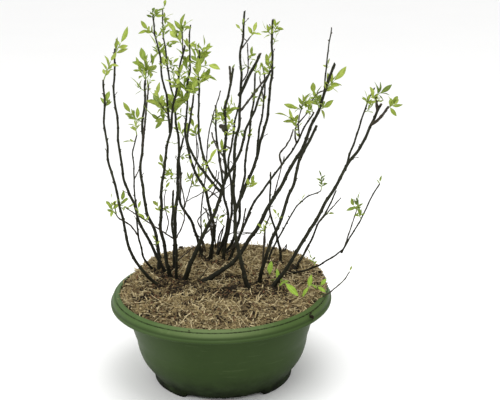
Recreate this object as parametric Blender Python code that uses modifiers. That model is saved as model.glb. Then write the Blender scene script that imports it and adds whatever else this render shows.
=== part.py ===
"""A young blueberry bush, cut back and coming into leaf, growing in a bowl pot.

Metres, +Z up. The origin is on the pot's axis, in the plane of its flat underside.
The front of the bush, as seen in its picture, looks towards -Y, with +X to its right.
"""
import math

import bmesh
import bpy
from mathutils import Matrix, Vector, noise

MM = 0.001

# Driving sizes of the pot, in metres
RIM_RADIUS = 0.200
RIM_HEIGHT = 0.166
RIM_INNER_RADIUS = 0.184
LIP_HEIGHT = 0.1455
LIP_THICK = 0.004
LIP_UNDERCUT = 0.0035
BASE_RADIUS = 0.1225
BASE_HEIGHT = 0.0055
FLAT_RADIUS = 0.097
FLAT_BEVEL = 0.001
FLOOR_HEIGHT = 0.018
WALL_THICK = 0.003
POT_STEPS = 44

# Driving sizes of the low feet under the pot's edge, in metres
FOOT_RADIUS = 0.1265
FOOT_COUNT = 3
FOOT_GAP_WIDTH = 0.134
FOOT_BULGE = 0.001
FOOT_BULGE_HEIGHT = 0.007
FOOT_OVERLAP = 0.002
FOOT_LIFT = 0.0001
GAP_INNER_RADIUS = FLAT_RADIUS * 0.80
GAP_OVERRUN = 0.02

# The rim's inner edge and its steps outside: radius, and depth below the rim's top
RIM_INNER_BEVEL = (0.003, 0.005)
RIM_STEPS = [(0.1905, 0.0035), (0.1950, 0.0070), (0.1970, 0.0135)]

# The wall bellies out from its foot: radius at each height
WALL_BELLY = [(0.1740, 0.149), (0.1655, 0.110), (0.1570, 0.080), (0.1535, 0.060),
              (0.1460, 0.040), (0.1320, 0.020), (BASE_RADIUS, BASE_HEIGHT)]

# Driving sizes of the growing medium in the pot
SOIL_CROWN = 0.176
SOIL_EDGE = 0.1615
SOIL_EDGE_RADIUS = 0.1805
SOIL_HEAP = 0.0135
HEAP_ANGLE = math.radians(68)
MOUND_POWER = 8
HEAP_POWER = 1.5
SOIL_LUMP = 0.002
LUMPS_PER_METRE = 28
LUMP_FADE_POWER = 6
SOIL_STEPS = 40
SOIL_RING_SHARES = (0.955, 0.87, 0.70, 0.50, 0.27, 0.0)

# How limbs and leaf masses are drawn. A tube roundness of 1 gives six sides.
GAP = 0.0003
CUT_CLEARANCE = GAP * 1.4
WELD = 0.00001
MERGE = 0.00005
RING_SPACING = 0.040
TUBE_ROUNDNESS = 1
KNUCKLE = 0.0012
KNUCKLE_DEPTH = 0.5
FOOT_FLARE = 0.35
FLARE_LENGTH = 0.020
SUNK = 0.012
MASS_UNEVEN = 0.52
MASS_LUMPS = 1.3
SEED_STEP = 7.3

# Canes that rise from the soil. Sizes in millimetres: name, foot (x, y), tip (x, y, z),
# sideways bows at even steps up the cane, diameter at the foot and at the tip.
CANES = [
    ("cane_left_front", (-107, 0), (-181, -100, 573), (-33, -34, -30, -27, -15), 4.8, 2.8),
    ("cane_left_outer", (-97, 50), (-173, 50, 597), (-18, -31, -37, -28, -18), 5.0, 2.9),
    ("cane_left_back", (-114, 65), (-129, 150, 522), (0, -15, -20, -15, -8), 5.6, 3.4),
    ("cane_left_thin", (-123, 78), (-137, -30, 462), (-21, -20, -18, -15, -12), 3.2, 2.0),
    ("cane_left_tall", (-91, 32), (-48, -50, 618), (-18, -27, -24, -17, -10), 6.2, 3.8),
    ("cane_left_thick", (-84, 72), (-88, 70, 663), (1, 10, 16, 12, 1), 7.2, 4.0),
    ("cane_left_short", (-82, 22), (-78, -20, 360), (1, -4), 4.4, 3.2),
    ("cane_back_left", (-34, 120), (-63, 150, 411), (-2, -11, -23, -19, -13), 5.2, 3.2),
    ("cane_middle_front", (-70, 15), (30, -80, 584), (8, 22, 30, 17, 4), 7.2, 4.2),
    ("cane_middle_tall", (-22, 106), (-40, 50, 636), (14, 2, -22, -19, -8), 6.8, 4.0),
    ("cane_middle_back", (-12, 122), (0, 180, 464), (20, 24, 14, 9, 0), 4.8, 3.0),
    ("cane_back_right", (6, 134), (76, 200, 520), (16, 13, 12, 8, 6), 4.8, 3.0),
    ("cane_middle_right", (3, 100), (44, 80, 492), (3, 7, -8, -7), 4.6, 2.8),
    ("cane_right_leader", (52, -36), (53, 0, 666), (-21, -25, -23, -11, -9), 6.2, 3.0),
    ("cane_right_arching", (13, 96), (184, 160, 450), (-7, -14, -12, -3, 0), 4.6, 2.8),
    ("cane_right_crooked", (114, 80), (99, 110, 350), (2, -4, -7, -9, -5), 4.0, 2.6),
    ("cane_right_long", (-48, 5), (212, 60, 562), (36, 39, 35, 31, 19), 7.0, 4.2),
    ("cane_right_front", (68, -10), (166, -90, 487), (-8, -6, -5, -5, -7), 5.6, 4.0),
    ("cane_right_low_back", (85, 80), (201, 200, 281), (-11, -17, -20, -20), 3.2, 2.0),
    ("cane_far_right", (85, -36), (277, -60, 514), (4, 6, 5, 5, 7), 5.8, 4.0),
    ("cane_right_short", (128, 34), (221, 110, 310), (3, 1, 1), 3.8, 2.4),
    ("cane_low_right", (92, 34), (219, -20, 239), (8, 12), 3.4, 2.4),
]

# Boughs that leave a cane: name, cane, how far up it, tip, bows and diameters as above.
BOUGHS = [
    ("bough_top_front", "cane_left_tall", 0.65, (-96, -90, 673), (2, 1, 0), 3.4, 2.2),
    ("bough_front_right", "cane_middle_front", 0.51, (90, -120, 588), (4, 1, 0), 4.4, 2.8),
    ("bough_front_left", "cane_middle_front", 0.47, (-36, -100, 545), (-31,), 4.2, 2.8),
    ("bough_middle_high", "cane_middle_front", 0.49, (-25, 20, 598), (-25, -21, -12), 3.8, 2.4),
    ("bough_cut_stub", "cane_right_leader", 0.72, (77, -30, 599), (0,), 4.6, 4.0),
    ("bough_right_top", "cane_right_leader", 0.31, (101, 30, 646), (17, 23, 15), 5.0, 3.2),
    ("bough_right_inner", "bough_right_top", 0.31, (80, -60, 579), (-1, 3, 6), 3.4, 2.2),
    ("bough_right_whip", "cane_right_long", 0.89, (208, 90, 619), (-3,), 2.6, 1.8),
    ("bough_far_right", "cane_far_right", 0.67, (273, 0, 528), (-2,), 3.4, 2.2),
]

# The part of the low cane beyond its bend, which turns up round an open gap.
BENT_TIPS = [
    ("cane_low_right_tip", "cane_low_right", (277, -60, 374), (1,), 2.4, 2.0),
]

# Leaf masses, in millimetres: name, centre (x, y, z), half sizes (x, y, z), seed.
MASSES = [
    ("leaves_left_front_top", (-172, -100, 590), (13, 15, 34), 1),
    ("leaves_left_outer_top", (-160, 50, 606), (15, 17, 30), 2),
    ("leaves_left_inner", (-143, -27, 472), (18, 21, 44), 33),
    ("leaves_left_back", (-127, 128, 530), (29, 34, 32), 4),
    ("leaves_top_front", (-103, -88, 652), (17, 20, 38), 5),
    ("leaves_top_back", (-84, 72, 636), (20, 24, 52), 6),
    ("leaves_top_middle", (-46, 50, 625), (25, 22, 33), 7),
    ("leaves_middle_high", (-20, 14, 580), (20, 24, 40), 8),
    ("leaves_heart_upper", (-82, 10, 552), (38, 48, 30), 9),
    ("leaves_heart_lower", (-84, 14, 487), (42, 56, 27), 10),
    ("leaves_heart_right", (-55, 128, 420), (32, 34, 25), 11),
    ("leaves_middle_back", (8, 150, 440), (27, 46, 52), 12),
    ("leaves_left_mid", (-98, 4, 388), (22, 25, 27), 13),
    ("leaves_left_low", (-174, -46, 356), (27, 24, 25), 14),
    ("leaves_centre_low", (-88, -10, 326), (23, 22, 15), 15),
    ("leaves_right_leader", (62, -14, 594), (20, 24, 48), 16),
    ("leaves_right_top", (101, 28, 626), (20, 22, 32), 17),
    ("leaves_right_upper", (88, -62, 556), (20, 30, 42), 18),
    ("leaves_back_top", (75, 194, 508), (20, 24, 28), 19),
    ("leaves_right_back", (136, 140, 413), (31, 34, 50), 20),
    ("leaves_right_outer_back", (180, 156, 478), (25, 26, 30), 21),
    ("leaves_right_outer", (207, 66, 540), (26, 28, 42), 22),
    ("leaves_far_right_inner", (268, -4, 508), (16, 20, 28), 23),
    ("leaves_far_right", (288, -62, 520), (24, 26, 28), 24),
    ("leaves_low_right", (240, -34, 316), (20, 24, 30), 25),
    ("leaves_low_front", (132, -42, 192), (52, 44, 20), 26),
]

# Colour, roughness and metallic value of each finish
FINISHES = {
    "pot_plastic": ((0.062, 0.110, 0.036, 1.0), 0.45, 0.0),
    "wood_fibre": ((0.330, 0.240, 0.140, 1.0), 0.95, 0.0),
    "cane_bark": ((0.038, 0.034, 0.020, 1.0), 0.75, 0.0),
    "young_leaf": ((0.330, 0.460, 0.060, 1.0), 0.55, 0.0),
}


def clear_scene():
    """Take away whatever objects the file opened with."""
    for thing in list(bpy.data.objects):
        bpy.data.objects.remove(thing, do_unlink=True)


def new_collection(name):
    """A collection of the scene with the given name."""
    collection = bpy.data.collections.new(name)
    bpy.context.scene.collection.children.link(collection)
    return collection


def finish_material(name):
    """The Principled material of one finish, made the first time it is asked for."""
    if name in bpy.data.materials:
        return bpy.data.materials[name]
    colour, roughness, metallic = FINISHES[name]
    material = bpy.data.materials.new(name)
    material.use_nodes = True
    shader = material.node_tree.nodes["Principled BSDF"]
    shader.inputs["Base Color"].default_value = colour
    shader.inputs["Roughness"].default_value = roughness
    shader.inputs["Metallic"].default_value = metallic
    material.diffuse_color = colour
    return material


def add_object(name, data, collection, finish=None):
    """An object for the given mesh or curve, in a collection, with its finish."""
    thing = bpy.data.objects.new(name, data)
    collection.objects.link(thing)
    if finish:
        data.materials.append(finish_material(finish))
    return thing


def mesh_object(name, bm, collection, finish=None):
    """An object made from a bmesh, which is freed."""
    mesh = bpy.data.meshes.new(name)
    bm.to_mesh(mesh)
    bm.free()
    return add_object(name, mesh, collection, finish)


def evaluated_mesh(thing):
    """A welded mesh of an object as its modifiers and curve settings leave it."""
    depsgraph = bpy.context.evaluated_depsgraph_get()
    mesh = bpy.data.meshes.new_from_object(thing.evaluated_get(depsgraph))
    bm = bmesh.new()
    bm.from_mesh(mesh)
    bmesh.ops.remove_doubles(bm, verts=bm.verts, dist=WELD)
    bm.to_mesh(mesh)
    bm.free()
    return mesh


def make_mesh(thing):
    """Replace a curve, or an object with modifiers, by a plain mesh object."""
    mesh = evaluated_mesh(thing)
    name = thing.name
    collection = thing.users_collection[0]
    place = thing.matrix_world.copy()
    bpy.data.objects.remove(thing, do_unlink=True)
    plain = add_object(name, mesh, collection)
    plain.matrix_world = place
    return plain


def turned(name, profile, steps, collection, finish):
    """A closed solid turned about Z from a profile that starts and ends on the axis."""
    mesh = bpy.data.meshes.new(name)
    points = [(radius, 0, height) for radius, height in profile]
    mesh.from_pydata(points, [(i, i + 1) for i in range(len(points) - 1)], [])
    thing = add_object(name, mesh, collection, finish)
    screw = thing.modifiers.new("turn", "SCREW")
    screw.axis = "Z"
    screw.steps = steps
    screw.render_steps = steps
    screw.use_merge_vertices = True
    screw.merge_threshold = MERGE
    return thing


def hide_cutter(cutter):
    """Mark an object as a cutter, which is no part of the plant."""
    cutter.hide_render = True
    cutter.display_type = "WIRE"


def cut(thing, cutter, label):
    """Take a cutter out of an object with an exact Boolean."""
    hide_cutter(cutter)
    boolean = thing.modifiers.new(label, "BOOLEAN")
    boolean.operation = "DIFFERENCE"
    boolean.solver = "EXACT"
    boolean.object = cutter


def pot_profile():
    """Half outline of the pot: its floor inside, up the wall, over the rim and down."""
    inside = [(0.0, FLOOR_HEIGHT), (BASE_RADIUS, FLOOR_HEIGHT)]
    inside += [(radius - WALL_THICK, height) for radius, height in WALL_BELLY[4::-1]]
    bevel, drop = RIM_INNER_BEVEL
    rim = [(RIM_INNER_RADIUS - bevel, RIM_HEIGHT - drop), (RIM_INNER_RADIUS, RIM_HEIGHT)]
    rim += [(radius, RIM_HEIGHT - depth) for radius, depth in RIM_STEPS]
    lip = [(RIM_RADIUS, LIP_HEIGHT + LIP_THICK), (RIM_RADIUS, LIP_HEIGHT)]
    lip += [(RIM_RADIUS - LIP_UNDERCUT, LIP_HEIGHT)]
    base = [(FLAT_RADIUS, BASE_HEIGHT), (FLAT_RADIUS - FLAT_BEVEL, 0.0), (0.0, 0.0)]
    return inside + rim + lip + WALL_BELLY + base


def make_feet(cutters):
    """Three low feet under the edge of the pot: a ring with three gaps cut out."""
    top = FLOOR_HEIGHT - FOOT_OVERLAP
    inside = FLAT_RADIUS - FOOT_OVERLAP
    bulge = FOOT_RADIUS + FOOT_BULGE
    profile = [(inside, FOOT_LIFT), (inside, top), (bulge, top),
               (bulge, FOOT_BULGE_HEIGHT), (FOOT_RADIUS, 0.0)]
    feet = turned("feet", profile + profile[:1], POT_STEPS, cutters, None)
    for index in range(FOOT_COUNT):
        angle = -math.pi / 2 + index * 2 * math.pi / FOOT_COUNT
        bm = bmesh.new()
        bmesh.ops.create_cube(bm, size=1.0)
        length = FOOT_RADIUS + GAP_OVERRUN - GAP_INNER_RADIUS
        size = Vector((length, FOOT_GAP_WIDTH, 2 * FLOOR_HEIGHT))
        bmesh.ops.scale(bm, vec=size, verts=bm.verts)
        bmesh.ops.translate(bm, vec=(GAP_INNER_RADIUS + length / 2, 0, 0), verts=bm.verts)
        bmesh.ops.rotate(bm, matrix=Matrix.Rotation(angle, 3, "Z"), verts=bm.verts)
        cut(feet, mesh_object("foot_gap_" + str(index + 1), bm, cutters), "gap")
    return feet


def make_pot(parts, cutters):
    """The bowl pot, standing on a flat base with three feet round its edge."""
    pot = turned("pot", pot_profile(), POT_STEPS, parts, "pot_plastic")
    feet = make_feet(cutters)
    hide_cutter(feet)
    union = pot.modifiers.new("feet", "BOOLEAN")
    union.operation = "UNION"
    union.solver = "EXACT"
    union.object = feet
    return pot


def soil_height(x, y):
    """Height of the soil's surface: a lumpy mound, heaped up at the back and right."""
    share = min(1.0, math.hypot(x, y) / SOIL_EDGE_RADIUS)
    mound = SOIL_EDGE + (SOIL_CROWN - SOIL_EDGE) * (1 - share ** MOUND_POWER)
    towards = (1 + math.cos(math.atan2(y, x) - HEAP_ANGLE)) / 2
    heap = SOIL_HEAP * towards ** HEAP_POWER * share ** HEAP_POWER
    lump = noise.noise(Vector((x, y, 0.0)) * LUMPS_PER_METRE) * SOIL_LUMP
    return mound + heap + lump * (1 - share ** LUMP_FADE_POWER)


def make_soil(parts):
    """The wood fibre and bark that fills the pot, with its uneven mounded top."""
    slack = WALL_THICK + 3 * GAP
    # The top's rings start far above the pot, which tells them from the sides
    above = 1.0
    profile = [(SOIL_EDGE_RADIUS * share, above) for share in reversed(SOIL_RING_SHARES)]
    profile += [(SOIL_EDGE_RADIUS, SOIL_EDGE)]
    profile += [(radius - slack, height) for radius, height in WALL_BELLY[:5]]
    profile += [(BASE_RADIUS - GAP, FLOOR_HEIGHT + GAP), (0.0, FLOOR_HEIGHT + GAP)]
    soil = make_mesh(turned("soil", profile, SOIL_STEPS, parts, "wood_fibre"))
    bm = bmesh.new()
    bm.from_mesh(soil.data)
    for vertex in bm.verts:
        if vertex.co.z > above / 2:
            vertex.co.z = soil_height(vertex.co.x, vertex.co.y)
    bmesh.ops.triangulate(bm, faces=bm.faces)
    bm.to_mesh(soil.data)
    bm.free()
    return soil


def smooth_route(knots, count):
    """Points on one smooth curve through the knots."""
    ends = [knots[0] * 2 - knots[1]] + knots + [knots[-1] * 2 - knots[-2]]
    route = []
    for step in range(count):
        place = step * (len(knots) - 1) / (count - 1)
        index = min(int(place), len(knots) - 2)
        t = place - index
        a, b, c, d = ends[index:index + 4]
        bend = (a * 2 - b * 5 + c * 4 - d) * t * t + (b * 3 - a - c * 3 + d) * t ** 3
        route.append((b * 2 + (c - a) * t + bend) / 2)
    return route


def limb_route(start, tip, bows):
    """A limb's centre line: straight from start to tip, but for its sideways bows."""
    run = tip - start
    sideways = Vector((run.z, 0, -run.x)).normalized()
    knots = [start]
    for index, bow in enumerate(bows):
        knots.append(start + run * (index + 1) / (len(bows) + 1) + sideways * bow * MM)
    knots.append(tip)
    count = max(4, round(run.length / RING_SPACING) + 1)
    route = smooth_route(knots, count)
    across = run.cross(sideways).normalized()
    for index in range(2, count - 1):
        route[index] += (sideways + across * KNUCKLE_DEPTH) * KNUCKLE * (-1) ** index
    return route


def add_tube(name, route, radii, collection, finish=None):
    """A closed tube of mesh along a route, with a radius at each of its points."""
    curve = bpy.data.curves.new(name, "CURVE")
    curve.dimensions = "3D"
    curve.bevel_depth = 1.0
    curve.bevel_resolution = TUBE_ROUNDNESS
    curve.use_fill_caps = True
    spline = curve.splines.new("POLY")
    spline.points.add(len(route) - 1)
    for point, place, radius in zip(spline.points, route, radii):
        point.co = (*place, 1.0)
        point.radius = radius
    tube = make_mesh(add_object(name, curve, collection))
    if finish:
        tube.data.materials.append(finish_material(finish))
    return tube


class Limb:
    """One tapering limb: its centre line, its radii, its solid and its cutting copy."""

    def __init__(self, name, start, tip, bows, thick, thin, flare, collections):
        parts, cutters = collections
        self.name = name
        self.route = limb_route(start, Vector(tip) * MM, bows)
        last = len(self.route) - 1
        length = sum((b - a).length for a, b in zip(self.route, self.route[1:]))
        self.radii = []
        for index in range(last + 1):
            share = index / last
            radius = (thick + (thin - thick) * share) * MM / 2
            if flare:
                radius *= 1 + FOOT_FLARE * math.exp(-share * length / FLARE_LENGTH)
            self.radii.append(radius)
        self.solid = add_tube(name, self.route, self.radii, parts, "cane_bark")
        wide = [radius + CUT_CLEARANCE for radius in self.radii]
        ends = [self.route[0] - (self.route[1] - self.route[0]).normalized() * GAP]
        ends += self.route[1:-1]
        ends += [self.route[-1] + (self.route[-1] - self.route[-2]).normalized() * GAP]
        self.cutter = add_tube("round_" + name, ends, wide, cutters)
        hide_cutter(self.cutter)

    def point_at(self, share):
        """The centre line's point at a share of the way along."""
        place = share * (len(self.route) - 1)
        index = min(int(place), len(self.route) - 2)
        return self.route[index].lerp(self.route[index + 1], place - index)


def make_limbs(soil_cutter, collections):
    """All canes and boughs, by name, each cut where it meets what carries it."""
    limbs = {}
    for name, foot, tip, bows, thick, thin in CANES:
        x, y = foot[0] * MM, foot[1] * MM
        start = Vector((x, y, soil_height(x, y) - SUNK))
        limb = Limb(name, start, tip, bows, thick, thin, True, collections)
        cut(limb.solid, soil_cutter, "ground level")
        limbs[name] = limb
    for name, carrier, share, tip, bows, thick, thin in BOUGHS:
        start = limbs[carrier].point_at(share)
        limb = Limb(name, start, tip, bows, thick, thin, False, collections)
        cut(limb.solid, limbs[carrier].cutter, "seat on its cane")
        limbs[name] = limb
    for name, carrier, tip, bows, thick, thin in BENT_TIPS:
        before, end = limbs[carrier].route[-2:]
        start = end + (end - before).normalized() * GAP
        limb = Limb(name, start, tip, bows, thick, thin, False, collections)
        cut(limb.solid, limbs[carrier].cutter, "seat on its cane")
        limbs[name] = limb
    return limbs


def keep_largest_body(mesh):
    """Delete all but the biggest connected piece of a mesh."""
    bm = bmesh.new()
    bm.from_mesh(mesh)
    bodies = []
    unseen = set(bm.verts)
    while unseen:
        stack = [unseen.pop()]
        body = []
        while stack:
            vertex = stack.pop()
            body.append(vertex)
            for edge in vertex.link_edges:
                other = edge.other_vert(vertex)
                if other in unseen:
                    unseen.remove(other)
                    stack.append(other)
        bodies.append(body)
    bodies.sort(key=len)
    for body in bodies[:-1]:
        bmesh.ops.delete(bm, geom=body, context="VERTS")
    bm.to_mesh(mesh)
    bm.free()


def boxes_touch(one, other):
    """Whether the boxes round two mesh objects at the origin come within a gap."""
    spans = []
    for thing in (one, other):
        corners = [vertex.co for vertex in thing.data.vertices]
        spans.append([(min(c[axis] for c in corners), max(c[axis] for c in corners))
                      for axis in range(3)])
    return all(a[0] - GAP <= b[1] and b[0] - GAP <= a[1] for a, b in zip(*spans))


def make_mass(name, centre, half, seed, limbs, soil_cutter, parts):
    """One uneven closed mass of leaves, cut round the limbs that run through it."""
    bm = bmesh.new()
    bmesh.ops.create_icosphere(bm, subdivisions=2, radius=1.0)
    for vertex in bm.verts:
        bump = noise.noise(vertex.co * MASS_LUMPS + Vector((seed * SEED_STEP, 0, 0)))
        vertex.co *= 1 + bump * MASS_UNEVEN
    low = [min(vertex.co[axis] for vertex in bm.verts) for axis in range(3)]
    high = [max(vertex.co[axis] for vertex in bm.verts) for axis in range(3)]
    for vertex in bm.verts:
        for axis in range(3):
            share = (vertex.co[axis] - low[axis]) / (high[axis] - low[axis])
            vertex.co[axis] = (centre[axis] + half[axis] * (2 * share - 1)) * MM
    mass = mesh_object(name, bm, parts, "young_leaf")
    for limb in limbs.values():
        if boxes_touch(mass, limb.cutter):
            cut(mass, limb.cutter, "round " + limb.name)
    if boxes_touch(mass, soil_cutter):
        cut(mass, soil_cutter, "on the soil")
    mass = make_mesh(mass)
    keep_largest_body(mass.data)
    return mass


def main():
    clear_scene()
    parts = new_collection("blueberry_bush_in_pot")
    cutters = new_collection("cutters")
    make_pot(parts, cutters)
    soil = make_soil(parts)
    soil_cutter = add_object("soil_line", soil.data.copy(), cutters)
    for vertex in soil_cutter.data.vertices:
        vertex.co.z += GAP
    hide_cutter(soil_cutter)
    limbs = make_limbs(soil_cutter, (parts, cutters))
    bpy.context.view_layer.update()
    for name, centre, half, seed in MASSES:
        make_mass(name, centre, half, seed, limbs, soil_cutter, parts)


main()
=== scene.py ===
"""The looks of a young blueberry bush in a bowl pot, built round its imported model.

Metres, +Z up. The front of the bush looks towards -Y. Relief bark stands for the
canes, a moulded pot and shredded mulch for the container, and the leaf masses give way
to twigs, green shoots and leaves that grow on from the limbs by a seeded rule.
"""
import math
import random

import bmesh
import bpy
import numpy as np
from mathutils import Matrix, Vector, noise
from mathutils.bvhtree import BVHTree


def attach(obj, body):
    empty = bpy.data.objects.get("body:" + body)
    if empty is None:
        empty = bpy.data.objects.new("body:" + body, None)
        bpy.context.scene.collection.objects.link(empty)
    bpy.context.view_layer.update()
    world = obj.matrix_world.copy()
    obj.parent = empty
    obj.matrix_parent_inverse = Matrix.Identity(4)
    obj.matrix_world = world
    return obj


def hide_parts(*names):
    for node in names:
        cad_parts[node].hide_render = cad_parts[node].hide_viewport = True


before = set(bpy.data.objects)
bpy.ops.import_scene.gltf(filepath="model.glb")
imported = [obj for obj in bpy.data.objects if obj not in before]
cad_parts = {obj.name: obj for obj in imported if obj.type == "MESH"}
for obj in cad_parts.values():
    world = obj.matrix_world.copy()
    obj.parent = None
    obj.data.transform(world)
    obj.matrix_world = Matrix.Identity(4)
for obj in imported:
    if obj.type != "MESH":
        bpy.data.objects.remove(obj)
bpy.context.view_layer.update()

MM = 0.001
GOLDEN_TURN = math.radians(137.5)
FULL_TURN = 2 * math.pi
UP = np.array([0.0, 0.0, 1.0])

# The seeds of the limbs' wandering lines, their buds, and all that is scattered or grown
WANDER_SEED = 1
LIMB_SEED = 40
CHIP_SEED = 500
FIBRE_SEED = 91
GROWTH_SEED = 10

# The camera: how far it stands from the middle of the rim's plane, how high over that
# plane it rises, and how it is turned
CAMERA_DISTANCE = 2.0
CAMERA_RISE = math.radians(22.779)
CAMERA_YAW = math.radians(1.725)
CAMERA_DIP = math.radians(17.711)
CAMERA_ROLL = math.radians(-1.089)
LENS_MM = 78.66
RIM_PLANE = 0.1455

# The pot's half outline: radius and height of its wall, base and rim
POT_STEPS = 160
POT_WALL = [(0.1745, 0.1490), (0.1700, 0.1300), (0.1655, 0.1100), (0.1612, 0.0940),
            (0.1570, 0.0800), (0.1535, 0.0600), (0.1460, 0.0400), (0.1320, 0.0200),
            (0.1225, 0.0055)]
POT_WALL_POINTS = 34
POT_THICK = 0.003
POT_FLOOR = 0.018
POT_FLAT_RADIUS = 0.097
POT_RIM = [(0.1810, 0.1610), (0.1830, 0.1650), (0.1838, 0.1658), (0.1850, 0.1657),
           (0.1880, 0.1642), (0.1903, 0.1630), (0.1910, 0.1624), (0.1915, 0.1612),
           (0.1922, 0.1611), (0.1930, 0.1614), (0.1943, 0.1606), (0.1956, 0.1588),
           (0.1966, 0.1562), (0.1971, 0.1535), (0.1974, 0.1518), (0.1983, 0.1511),
           (0.1994, 0.1505), (0.1999, 0.1496), (0.2000, 0.1480), (0.1998, 0.1463),
           (0.1990, 0.1456), (0.1976, 0.1456), (0.1966, 0.1462), (0.1900, 0.1478),
           (0.1800, 0.1492)]

# Where the pot's finish changes: the heights between which the rim's green takes over
# from the wall's, dust comes in on the rim, and the painted shade in the hollow under its lip
# fades out above and below; the height under which the wall is darkened by soil splashes and
# painted shade; and how far from the groove's middle its painted shade starts to fade and ends
RIM_BLEND = (0.146, 0.156)
DUST_FROM = (0.152, 0.157)
HOLLOW_UPPER = (0.1580, 0.1535)
HOLLOW_LOWER = (0.1508, 0.1516)
SOIL_AND_SHADE_BELOW = 0.075
GROOVE_SHADE = (0.0004, 0.0012)

# The three feet under the pot's edge, and the panels above them
FOOT_RADIUS = 0.1265
FOOT_INNER_RADIUS = POT_FLAT_RADIUS - 0.003
FOOT_BEVEL = 0.0012
FOOT_SWELL = 0.0008
FOOT_STEPS = 46
FOOT_COUNT = 3
FOOT_HALF_GAP = math.radians(31)
FOOT_TOP = 0.016
FOOT_ROUNDING = 0.012
PANEL_TOP = 0.056
PANEL_FADE = 0.006
PANEL_RECESS = 0.0014
PANEL_EDGE = math.radians(5)

# The mulch: its edge, its turned steps and rings, its sides and underside, and a height
# far above it for the points that are still to be laid on the soil
MULCH_RADIUS = 0.1822
MULCH_STEPS = 150
MULCH_RINGS = 64
MULCH_SIDES = [(0.168, 0.145), (0.160, 0.115), (0.0, 0.115)]
MULCH_SINK = 0.0006
NOT_LAID = 1.0
SOIL_EDGE = 0.1785
RIM_TOP = 0.1635

# The mulch's relief: how close together its hummocks and crumbs are and their height,
# the width of its calmer edge and the share of the relief that is left there
HUMMOCK_PITCH = 62.0
HUMMOCK_HEIGHT = 0.0026
CRUMB_PITCH = 210.0
CRUMB_HEIGHT = 0.0013
CALM_EDGE = 0.02
CALM_SHARE = 0.3

# The mulch is heaped up to the pot's edge at the back and right, and spills over there:
# each sector's middle, half width and the width of the slope at its ends. Inside the
# heap's start the soil is left plain, and its level is taken a little further in.
HEAP_SECTOR = (math.radians(72), math.radians(88), math.radians(22))
HEAP_START = 0.145
HEAP_SLOPE = 0.012
HEAP_LEVEL = 0.142
HEAP_LIFT = 0.004
HEAP_DROP = 0.013
SPILL_SECTOR = (math.radians(22), math.radians(48), math.radians(26))
SPILL_REACH = 0.0095
SPILL_BEND = 6

# How dark the mulch is painted, for damp and for painted shade: all over, by a dark place
# or a cane's foot, and from the clouds of a noise pattern; it is painted lighter towards the
# back as painted light, and damper towards the left
FOOT_DAMP_AND_SHADE_REACH = 0.013
DAMP_BASE = 0.08
DAMP_AND_SHADE_NEAR = 1.05
DAMP_CLOUD = 0.90
DAMP_LEFT = 0.20
PAINTED_LIGHT_BACK = 0.60
DRIEST = -0.2
CLOUD_PITCH = 34.0
CLOUD_FINE_PITCH = 90.0

# Dark places in the mulch, painted as damp and as painted shade: x, y and reach in millimetres
DAMP_AND_SHADE_SPOTS = [(-178, 15, 7), (-173, 39, 5), (-108, 39, 9), (-110, -19, 9), (-89, 8, 14),
              (-65, -4, 12), (-25, 104, 14), (-8, 103, 15), (9, 123, 13), (22, 18, 20),
              (18, -30, 9), (-29, -45, 9), (-13, -46, 11), (-126, -55, 11), (-148, -58, 7),
              (64, -70, 22), (86, -54, 16), (107, -65, 12), (70, -20, 15), (96, 63, 9),
              (107, 1, 9), (129, 50, 11), (34, -17, 12), (-82, -31, 12), (-46, -62, 11),
              (1, -65, 11), (-90, -60, 9), (-60, -95, 8), (40, -110, 8), (120, -95, 8),
              (12, -50, 22), (-75, -45, 12), (-104, -62, 9), (-118, -74, 9)]

# Dark lumps that stand out: x, y, height over the bed, length and width in millimetres,
# and heading in degrees; the last four lie in a row at the left edge, dark bits laid as painted
# shade in the gap against the rim
CLODS = [(-76, 152, 6, 8, 7, 0), (182, 18, 5, 11, 4, 60), (19, -41, 5, 9, 8, 80),
         (105, -16, 5, 8, 8, 10), (101, 19, 5, 5, 4, 0), (-24, -51, 5, 14, 5, 15),
         (-9, -53, 5, 12, 4, 170), (-140, -60, 5, 9, 4, 30), (-170, 56, 4, 10, 6, 72),
         (-174, 44, 4, 10, 6, 76), (-176, 31, 4, 10, 6, 80), (-178, 19, 4, 10, 5, 84)]
CLOD_BITS = 5
CLOD_SPREAD = 0.0008

# Clumps that cling to the rim: middle in metres, spread in millimetres and bits
RIM_CLUMPS = [((0.152, -0.125, 0.157), 2.8, 22), ((-0.055, -0.183, 0.1645), 0.8, 6)]

# Crumbs in the groove that runs round the top of the rim, on the front half
GROOVE_RADIUS = 0.1912
GROOVE_HEIGHT = 0.1622
GROOVE_SECTOR = (math.radians(-165), math.radians(-20))
GROOVE_CRUMBS = 260

# Loose fibres, which lie where the mulch isn't painted too dark for damp and painted shade
FIBRE_COUNT = 1500
FIBRE_REACH = 0.180
FIBRE_LIMIT = 0.181
FIBRE_DAMP_AND_SHADE_LIMIT = 0.60
FIBRE_STEPS = 4
FIBRE_TAPER = (0.4, 0.8, 1, 1, 1, 0.7, 0.3)

# Shredded wood: its share in dry places and in places painted dark for damp and shade, so that
# dark bark gathers in the painted shade; length and width in millimetres, and the dark and
# light of its grain
CHIPS = {
    "mulch_tan": (34, 9, (4, 17), (0.9, 2.8), (0.185, 0.138, 0.062), (0.390, 0.305, 0.150)),
    "mulch_pale": (21, 1, (5, 24), (0.9, 2.4), (0.330, 0.266, 0.138), (0.640, 0.540, 0.325)),
    "mulch_brown": (28, 24, (3, 14), (1.0, 3.0), (0.075, 0.053, 0.025), (0.200, 0.146, 0.072)),
    "mulch_red": (7, 9, (3, 11), (1.3, 3.4), (0.085, 0.042, 0.021), (0.190, 0.102, 0.052)),
    "mulch_bark": (10, 60, (2, 10), (1.3, 3.9), (0.008, 0.006, 0.004), (0.036, 0.026, 0.015)),
}
FIBRE_TONES = ((0.240, 0.182, 0.092), (0.480, 0.385, 0.215))
CHIP_COUNT = 16000
CHIP_THINNEST = 0.35 * MM
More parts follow.
